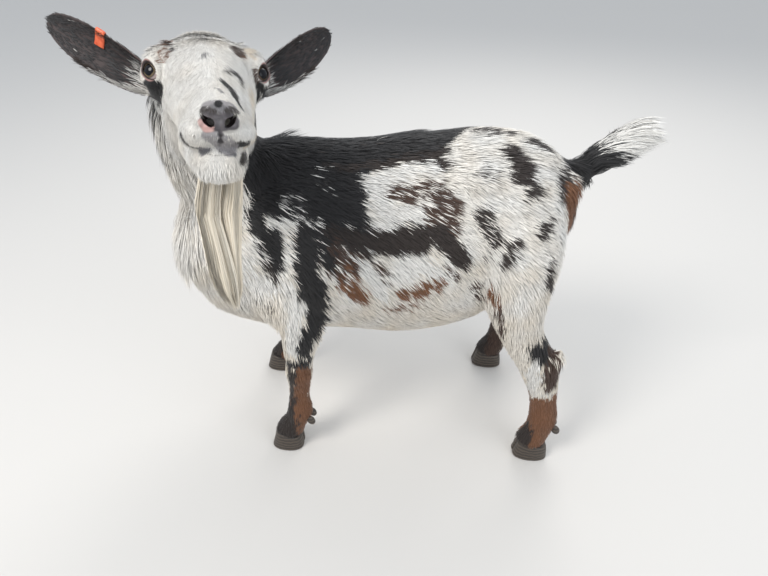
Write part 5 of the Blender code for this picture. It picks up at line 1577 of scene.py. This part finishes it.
def grow_beard():
    """Long straight hair from the whole underside of the chin, hanging in two hanks."""
    draw = np.random.RandomState(SEED + 2)
    steps = 8
    for word, (first, last, rows) in zip(("right", "left"), BEARD_HANKS):
        count = BEARD_TUFTS
        s = draw.uniform(0, 1, count)
        depth = draw.uniform(-1, 1, count)
        share = first + (last - first) * s
        near, far = np.array(BEARD_ROOT[0]), np.array(BEARD_ROOT[1])
        along = near + (far - near) * ((depth + 1) / 2)[:, None]
        aside = (share * 2 - 1) * BEARD_HALF * (1 - 0.10 * np.abs(depth))
        local = np.stack([along[:, 0], aside, along[:, 1] + 0.10 * np.abs(aside)], axis=1)
        roots = local @ (np.array(HEAD)[:3, :3].T) + np.array(HEAD)[:3, 3]
        path = spline(np.array(rows), 8)[::-1]
        end = path[0, 0]
        reach = draw.uniform(0.45, 1.0, count) ** 0.45
        strand = draw.normal(0, 1, (count, 2))
        turn = draw.uniform(0, 2 * math.pi, count)
        lock = np.floor(s * 8).astype(int) + 10 * (depth > 0)
        gather = np.array([draw.uniform(-0.5, 0.5, 2) for _ in range(20)])[lock]
        spine = []
        for i in range(steps + 1):
            t = i / steps
            height = roots[:, 2] + (end - roots[:, 2]) * t * reach
            centre = np.interp(height, path[:, 0], path[:, 1])
            half = np.interp(height, path[:, 0], path[:, 2])
            side = (s * 2 - 1) * 0.95 + 0.16 * gather[:, 0] * t + 0.04 * strand[:, 0] * t
            back = depth * 0.62 + 0.16 * gather[:, 1] * t + 0.05 * strand[:, 1] * t
            wave = 0.0007 * np.sin(6 * t * reach + turn)
            hang = np.stack([centre + half * side + wave, BEARD_Y + half * back * 0.75, height], axis=1)
            start = np.stack([roots[:, 0], roots[:, 1], height], axis=1)
            blend = smoothstep(0.0, 0.42, t)
            spine.append(start * (1 - blend) + hang * blend)
        spine = np.stack(spine, axis=1)
        normals = unit(np.stack([s * 2 - 1, -0.7 - 0.3 * depth, np.zeros(count)], axis=1))
        tone = np.clip(0.25 + 0.40 * draw.random_sample(count) + 0.35 * gather[:, 0], 0, 1)[:, None]
        colours = np.array(BEARD_PALE) * (1 - tone) + np.array(BEARD_TAN) * tone
        uvs = np.stack([0.80 + 0.15 * share, 0.80 + 0.08 * depth], axis=1)
        # shade paints each hair darker at the root and lighter at the tip: painted shade and painted light
        build_tufts(f"beard_{word}", spine, np.full(count, 0.0017), normals, colours, uvs, draw,
                    shade=(0.84, 1.05), soft=0.6)


def grow_tail():
    draw = np.random.RandomState(SEED + 3)
    base, end = np.array(DOCK_ROWS[1][:3]), np.array(DOCK_ROWS[-1][:3])
    along = unit(end - base)
    count = TAIL_TUFTS
    t = draw.random_sample(count)
    turn = draw.uniform(0, 2 * math.pi, count)
    upper = np.array((-along[2], 0, along[0]))
    aside = np.cos(turn)[:, None] * np.array((0, 1, 0)) + np.sin(turn)[:, None] * upper
    radius = (0.017 - 0.009 * t)[:, None]
    roots = base + (end - base) * (0.35 + 0.72 * t)[:, None] + aside * radius * 0.9
    flow = unit(along + aside * draw.uniform(0.05, 0.48, count)[:, None])
    droop = np.array((0.98, 0, 0.05)) + 0.14 * aside
    length = TAIL_LENGTH * (0.55 + 0.45 * t) * draw.uniform(0.70, 1.1, count)
    spine = []
    steps = 5
    for i in range(steps + 1):
        s = i / steps
        direction = unit(flow * (1 - 0.75 * s) + droop * 0.75 * s)
        spine.append(roots + direction * (length * s)[:, None])
    spine = np.stack(spine, axis=1)
    black = (draw.random_sample(count) < smoothstep(0.52, 0.10, t + 0.12 * np.sin(turn)))
    colours = np.where(black[:, None], np.array(BLACK), np.array(WHITE))
    uvs = np.stack([0.78 + 0.18 * turn / 7, 0.02 + 0.28 * t], axis=1)
    # shade paints each hair darker at the root and lighter at the tip: painted shade and painted light
    build_tufts("tail_fan", spine, np.full(count, 0.0017), unit(aside), colours, uvs, draw,
                shade=(0.75, 1.08))


# Eyes, hooves and the ear tag

def new_material(name, roughness):
    """A material with its nodes, links and shader."""
    made = bpy.data.materials.new(name)
    made.use_nodes = True
    nodes, links = made.node_tree.nodes, made.node_tree.links
    shader = nodes["Principled BSDF"]
    shader.inputs["Roughness"].default_value = roughness
    return made, nodes, links, shader


def add_bump(nodes, links, shader, relief, strength, distance):
    """Raises the shader's surface by the output relief."""
    height = nodes.new("ShaderNodeBump")
    height.inputs["Strength"].default_value = strength
    height.inputs["Distance"].default_value = distance
    links.new(relief, height.inputs["Height"])
    links.new(height.outputs["Normal"], shader.inputs["Normal"])


def add_noise(nodes, links, scale, detail):
    noise = nodes.new("ShaderNodeTexNoise")
    noise.inputs["Scale"].default_value = scale
    noise.inputs["Detail"].default_value = detail
    place = nodes.new("ShaderNodeTexCoord")
    links.new(place.outputs["Object"], noise.inputs["Vector"])
    return noise.outputs["Fac"]


def add_ramp(nodes, links, shader, value, low, high):
    """Colours the shader from low to high, each a place on the ramp and a colour, by the value."""
    ramp = nodes.new("ShaderNodeValToRGB")
    for element, (position, colour) in zip(ramp.color_ramp.elements, (low, high)):
        element.position = position
        element.color = (*colour, 1)
    links.new(value, ramp.inputs["Fac"])
    links.new(ramp.outputs["Color"], shader.inputs["Base Color"])


def attribute_material(name, roughness, bump=None, **sockets):
    """A material that takes its colour from the mesh, with fine noise for its bump."""
    made, nodes, links, shader = new_material(name, roughness)
    for socket, value in sockets.items():
        shader.inputs[socket.replace("_", " ")].default_value = value
    colour = nodes.new("ShaderNodeVertexColor")
    colour.layer_name = "coat"
    links.new(colour.outputs["Color"], shader.inputs["Base Color"])
    if bump:
        scale, strength, distance = bump
        add_bump(nodes, links, shader, add_noise(nodes, links, scale, 6), strength, distance)
    return made


EYE_GAZE = {"right": 0.12, "left": 0.04}
# the left iris is the right one's colour at about 0.55: painted shade
IRIS_WITH_SHADED_LEFT = {"right": (0.27, 0.20, 0.12), "left": (0.15, 0.105, 0.065)}


def eyeball(side, word):
    eye = ball(f"eyeball_{word}", EYE_RADIUS, side, segments=96, rings=64)
    points = vertex_array(eye.data)
    inner = np.array(eye_frame(side).inverted())
    local = points @ inner[:3, :3].T + inner[:3, 3]
    x, y, z = local.T / EYE_RADIUS
    radial = np.hypot(x, y)
    cornea = smoothstep(0.62, 0.30, radial) * (z > 0)
    grow = 1 + 0.055 * cornea
    points = (np.array(eye_frame(side)) @ np.vstack([(local * grow[:, None]).T, np.ones(len(local))]))[:3].T
    eye.data.vertices.foreach_set("co", (points + np.array(SHIFT)).ravel())
    x = x + EYE_GAZE[word]
    radial = np.hypot(x, y)
    iris = smoothstep(0.63, 0.58, radial) * (z > 0)
    streak = 0.5 + 0.5 * np.sin(np.arctan2(y, x) * 46 + 5 * radial)
    limbus = np.exp(-((radial - 0.62) / 0.05) ** 2)[:, None]
    white = np.array(EYE_WHITE) * (1 - 0.80 * limbus)
    amber = np.array(IRIS_WITH_SHADED_LEFT[word]) * (0.70 + 0.35 * streak[:, None]) * (1 - 0.6 * limbus)
    colour = white * (1 - iris[:, None]) + amber * iris[:, None]
    pupil = (np.abs(x / 0.50) ** 3 + np.abs(y / 0.40) ** 3) ** (1 / 3)
    dark = smoothstep(1.06, 0.94, pupil)[:, None] * (z > 0)[:, None]
    colour = colour * (1 - dark) + np.array(PUPIL) * dark
    add_colour(eye.data, colour)
    eye.data.shade_smooth()
    corners = np.stack([0.9 + 0.04 * (side + 1) / 2 + 0.03 * x, 0.9 + 0.03 * y], axis=1)
    add_uv(eye.data, corners[corner_vertices(eye.data)])
    eye.data.materials.append(EYE_MATERIAL)
    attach(eye, "root")
    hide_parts(f"eye_{word}")


def coronet_height(x, toe_x):
    return CORONET_HEIGHT - CORONET_SLOPE * (x - toe_x - 0.012)


def feet():
    """Each foot's name, side, hoof middle, toe and heel."""
    spans = (("fore", FORE_SPREAD, FORE_TOE, FORE_HEEL, FAR_FORE_STEP),
             ("hind", HIND_SPREAD, HIND_TOE, HIND_HEEL, FAR_HIND_STEP))
    for end, spread, toe, heel, far_step in spans:
        for word, side, step in (("left", -1, 0.0), ("right", 1, far_step)):
            yield end, word, side, side * spread, toe + step, heel + step


def foot_block(toe_x, middle_y):
    """What lies under the coronet plane, to cut the leg off above the hoof."""
    up = Vector((CORONET_SLOPE, 0, 1)).normalized()
    along = Vector((1, 0, -CORONET_SLOPE)).normalized()
    across = Vector((0, 1, 0))
    top = Vector((toe_x + 0.03, middle_y, coronet_height(toe_x + 0.03, toe_x)))
    points = [top + along * a + across * b - up * c
              for c in (0.0, 0.10) for b in (-0.045, 0.045) for a in (-0.06, 0.06)]
    faces = [(0, 1, 3, 2), (4, 6, 7, 5), (0, 4, 5, 1), (2, 3, 7, 6), (0, 2, 6, 4), (1, 5, 7, 3)]
    return closed_body("foot_block", points, faces)


def claw(name, toe_x, heel_x, middle_y, side):
    """Half a hoof: a flat sole, a wall with faint growth rings that narrows upward, a sloping top."""
    around, levels = 36, 26
    points = []
    for level in range(levels + 1):
        share = level / levels
        toe_in, heel_in, wide = (np.interp(share, (0, 0.05, 0.55, 0.90, 1.0), values) for values in (
            (0.0022, 0.0, 0.0052, 0.0092, 0.0110), (0.0014, 0.0, 0.0008, 0.0020, 0.0034),
            (0.0205, 0.0222, 0.0212, 0.0196, 0.0182)))
        ripple = 0.00016 * (0.5 + 0.5 * math.cos(share * 34)) * (0.05 < share < 0.95)
        toe, heel = toe_x + toe_in + ripple, heel_x - heel_in - ripple
        slit = CLAW_SLIT * (1 - 0.45 * share)
        for i in range(around + 1):
            angle = math.pi * i / around
            x = (toe + heel) / 2 - (heel - toe) / 2 * math.cos(angle)
            bulge = math.sin(angle) ** 0.62 * (1 - 0.10 * math.cos(angle))
            y = middle_y + side * (slit + (wide - ripple - slit) * bulge + 0.0006)
            points.append((x, y, share * (coronet_height(x, toe_x) - 0.0003)))
        x_mid = (toe + heel) / 2
        points.append((x_mid, middle_y + side * slit, share * (coronet_height(x_mid, toe_x) - 0.0003)))
    obj = closed_body(name, points, tube_faces(levels + 1, around + 2), Matrix.Translation(SHIFT))
    for polygon in obj.data.polygons:
        polygon.use_smooth = len(polygon.vertices) == 4
    return obj


def hooves():
    for end, word, side, middle, toe, heel in feet():
        for place, lie in (("outer", side), ("inner", -side)):
            piece = claw(f"claw_{end}_{word}_{place}", toe, heel, middle, lie)
            piece.data.materials.append(HORN_MATERIAL)
            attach(piece, "root")
            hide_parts(f"{end}_{word}_claw_{place}")
            spot = middle + lie * DEWCLAW_APART
            horn = mass(f"horn_{end}_{word}_{place}", (toe + DEWCLAW_BEHIND[end], spot, DEWCLAW_HEIGHT),
                        DEWCLAW_SIZE, turn=(0, -28, 0), detail=32)
            horn.data.transform(Matrix.Translation(SHIFT))
            horn.data.shade_smooth()
            horn.data.materials.append(HORN_MATERIAL)
            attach(horn, "root")
            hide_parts(f"{end}_{word}_dewclaw_{place}")


def ear_tag():
    """A strip folded over the upper edge of the right ear, with rounded edges."""
    side = -1
    us = np.linspace(TAG_FROM, TAG_TO, 7)
    vs = [TAG_INNER_END + (1 - TAG_INNER_END) * k / 14 for k in range(15)]
    points, faces = [], []
    for row, u in enumerate(us):
        bevel = 0.7 if row in (0, len(us) - 1) else 1.0
        inner, outer = [], []
        for v in vs:
            low, high = ear_surface(side, u, -v, 0), ear_surface(side, u, -v, 1)
            apart = (high - low).normalized()
            thick = TAG_THICKNESS * bevel
            inner.append((high + apart * TAG_CLEAR, high + apart * (TAG_CLEAR + thick)))
            outer.append((low - apart * TAG_CLEAR, low - apart * (TAG_CLEAR + thick)))
        edge = (ear_surface(side, u, -1, 0) + ear_surface(side, u, -1, 1)) / 2
        before = (ear_surface(side, u, -0.9, 0) + ear_surface(side, u, -0.9, 1)) / 2
        beyond = (edge - before).normalized()
        turn = [(edge + beyond * TAG_CLEAR * 2, edge + beyond * (TAG_CLEAR * 2 + TAG_THICKNESS * bevel))]
        path = inner + turn + outer[::-1]
        points += [pair[0] for pair in path] + [pair[1] for pair in path[::-1]]
    faces = strip_faces(len(us), len(points) // len(us))
    obj = closed_body("tag_strip", points, faces, Matrix.Translation(SHIFT) @ HEAD)
    obj.data.shade_smooth()
    obj.data.materials.append(TAG_MATERIAL)
    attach(obj, "root")
    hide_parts("ear_tag")


def horn_material():
    """Grey-brown horn, darker in bands along its growth rings."""
    made, nodes, links, shader = new_material("hoof_horn", 0.48)
    place = nodes.new("ShaderNodeTexCoord")
    wave = nodes.new("ShaderNodeTexWave")
    wave.bands_direction = "Z"
    for socket, value in (("Scale", 55), ("Distortion", 3.0), ("Detail", 4), ("Detail Scale", 2.5)):
        wave.inputs[socket].default_value = value
    links.new(place.outputs["Object"], wave.inputs["Vector"])
    bands = wave.outputs["Fac"]
    add_ramp(nodes, links, shader, bands, (0.0, (0.030, 0.024, 0.020)), (1.0, (0.085, 0.066, 0.050)))
    add_bump(nodes, links, shader, bands, 0.35, 0.0006)
    return made


def tag_material():
    """Soft orange plastic with a little dust in its colour."""
    made, nodes, links, shader = new_material("tag_plastic", 0.42)
    shader.inputs["Subsurface Weight"].default_value = 0.0
    dust = add_noise(nodes, links, 140, 5)
    add_ramp(nodes, links, shader, dust, (0.35, (0.62, 0.085, 0.030)), (0.70, (0.86, 0.19, 0.075)))
    add_bump(nodes, links, shader, dust, 0.15, 0.0003)
    return made


def slot_nodes(name):
    """The nodes that a piece of skin or coat stands for."""
    table = {"skin": FLESH, "coat_body": ["torso"], "coat_neck": ["neck"], "coat_tail": ["tail"],
             "tail_fan": ["tail"], "coat_head": ["head"], "coat_face": ["head"], "beard": ["beard"],
             "coat_legs": [n for n in FLESH if "leg" in n],
             "coat_ear_left": ["ear_left"], "coat_ear_right": ["ear_right"]}
    return next(nodes for start, nodes in table.items() if name.startswith(start))


def finish_skin():
    """Gives the skin its colours, unwrap and material, and moves it to where the model stands."""
    tri = skin.modifiers.new("tri", "TRIANGULATE")
    tri.quad_method = "BEAUTY"
    bake_modifiers(skin)
    mesh = skin.data
    points = vertex_array(mesh)
    # painted shade: the skin under the coat takes 0.72 of the coat's colour, so the gaps between the tufts
    # look shadowed
    colour = coat_colour(points) * 0.72
    colour = ear_skin_colour(points, colour)
    add_colour(mesh, np.clip(bare_colour(points, colour), 0, 1))
    corner = corner_vertices(mesh).reshape(-1, 3)
    centres = points[corner].mean(axis=1)
    region = region_of(centres)
    each = np.repeat(region, 3)
    uv = unwrap(points[corner.ravel()], each)
    u = uv[:, 0].reshape(-1, 3)
    wide = tile_width(region)[:, None]
    torn = (u.max(axis=1) - u.min(axis=1))[:, None] > wide * 0.5
    middle = (u.max(axis=1) + u.min(axis=1))[:, None] / 2
    u = np.where(torn & (u < middle), u.max(axis=1, keepdims=True), u)
    uv[:, 0] = u.ravel()
    add_uv(mesh, uv)
    mesh.shade_smooth()
    mesh.materials.clear()
    mesh.materials.append(SKIN_MATERIAL)
    mesh.transform(Matrix.Translation(SHIFT))


def tile_width(region):
    return np.choose(region, (0.5, 0.25, 0.5, 0.125, 0.25))


def ear_skin_colour(points, colour):
    """Dark grey skin of the ears, pinker at their roots inside."""
    local = to_head(points)
    aside = np.abs(local[:, 1])
    base, reach = np.array(EAR_BASE), np.array(EAR_REACH)
    flipped = local.copy()
    flipped[:, 1] = aside
    along = (flipped - base) @ reach / (reach @ reach)
    close = smoothstep(0.055, 0.035, stroke_distance(flipped, base, base + reach))
    ear = (smoothstep(0.04, 0.14, along) * close * (aside > 0.045))[:, None]
    inner = smoothstep(0.45, 0.05, along)[:, None]
    skin_tone = np.array(EAR_SKIN) * (1 - 0.4 * inner) + np.array(EAR_ROOT_SKIN) * 0.4 * inner
    return colour * (1 - ear) + skin_tone * ear


# Assembly

COAT_MATERIAL = attribute_material("coat_hair", 0.62, None, Sheen_Weight=0.12, Sheen_Roughness=0.5)
SKIN_MATERIAL = attribute_material("coat_skin", 0.72, (900.0, 0.5, 0.0008))
EYE_MATERIAL = attribute_material("wet_eye", 0.05, None, Specular_IOR_Level=0.22)
HORN_MATERIAL = horn_material()
TAG_MATERIAL = tag_material()
coat_pieces = []

for end, word, side, middle, toe, heel in feet():
    boolean(skin, "DIFFERENCE", foot_block(toe, middle))
for side in (-1, 1):
    boolean(skin, "UNION", ball("lids", EYE_RADIUS + LID_THICKNESS, side))
grow_coat()
grow_ears()
grow_ear_fringe()
grow_beard()
grow_tail()
for side in (-1, 1):
    boolean(skin, "UNION", ear_shell(side))
cut_openings()
finish_skin()
for side, word in SIDES:
    eyeball(side, word)
hooves()
ear_tag()

FLESH = ["torso", "neck", "head", "tail", "beard", "ear_left", "ear_right",
         "fore_leg_left", "fore_leg_right", "hind_leg_left", "hind_leg_right"]
for piece in [skin] + coat_pieces:
    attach(piece, "root")
    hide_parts(*slot_nodes(piece.name))


# Floor, light and camera

def area_light(name, place, aim, size, power, colour):
    lamp = bpy.data.lights.new(name, "AREA")
    lamp.shape = "DISK"
    lamp.size = size
    lamp.energy = power
    lamp.color = colour
    obj = link(bpy.data.objects.new(name, lamp))
    obj.location = Vector(place) + SHIFT
    obj.rotation_euler = (Vector(aim) - Vector(place)).to_track_quat("-Z", "Y").to_euler()


def studio():
    floor = mesh_object("floor", [(-9, -9, 0), (9, -9, 0), (9, 9, 0), (-9, 9, 0)], [(0, 1, 2, 3)])
    pale = bpy.data.materials.new("floor_pale")
    pale.use_nodes = True
    shader = pale.node_tree.nodes["Principled BSDF"]
    shader.inputs["Base Color"].default_value = (0.62, 0.60, 0.57, 1)
    shader.inputs["Roughness"].default_value = 0.9
    floor.data.materials.append(pale)
    world = bpy.data.worlds.new("studio")
    world.use_nodes = True
    background = world.node_tree.nodes["Background"]
    background.inputs["Color"].default_value = (0.86, 0.92, 1.0, 1)
    background.inputs["Strength"].default_value = 0.86
    bpy.context.scene.world = world
    area_light("key", (-1.3, -1.2, 2.3), (0, 0, 0.35), 1.0, 42, (1.0, 0.97, 0.93))
    area_light("fill", (1.6, -1.5, 1.5), (0, 0, 0.35), 1.8, 16, (0.93, 0.96, 1.0))
    area_light("back", (0.6, 1.6, 2.0), (0, 0, 0.4), 1.4, 22, (1.0, 0.98, 0.95))


def camera():
    lens = bpy.data.cameras.new("camera")
    lens.sensor_width = 36
    lens.lens = 36 * CAMERA_FOCUS / 768
    lens.clip_start = 0.05
    eye = link(bpy.data.objects.new("camera", lens))
    ahead = Vector((math.sin(CAMERA_YAW) * math.cos(CAMERA_PITCH),
                    math.cos(CAMERA_YAW) * math.cos(CAMERA_PITCH), -math.sin(CAMERA_PITCH)))
    level = Vector((math.cos(CAMERA_YAW), -math.sin(CAMERA_YAW), 0))
    up = level.cross(ahead)
    right = math.cos(CAMERA_ROLL) * level + math.sin(CAMERA_ROLL) * up
    upward = math.cos(CAMERA_ROLL) * up - math.sin(CAMERA_ROLL) * level
    turn = Matrix((right, upward, -ahead)).transposed().to_4x4()
    eye.matrix_world = Matrix.Translation(Vector(CAMERA_PLACE) + SHIFT) @ turn
    bpy.context.scene.camera = eye


studio()
camera()
bpy.context.scene.view_settings.view_transform = "Standard"
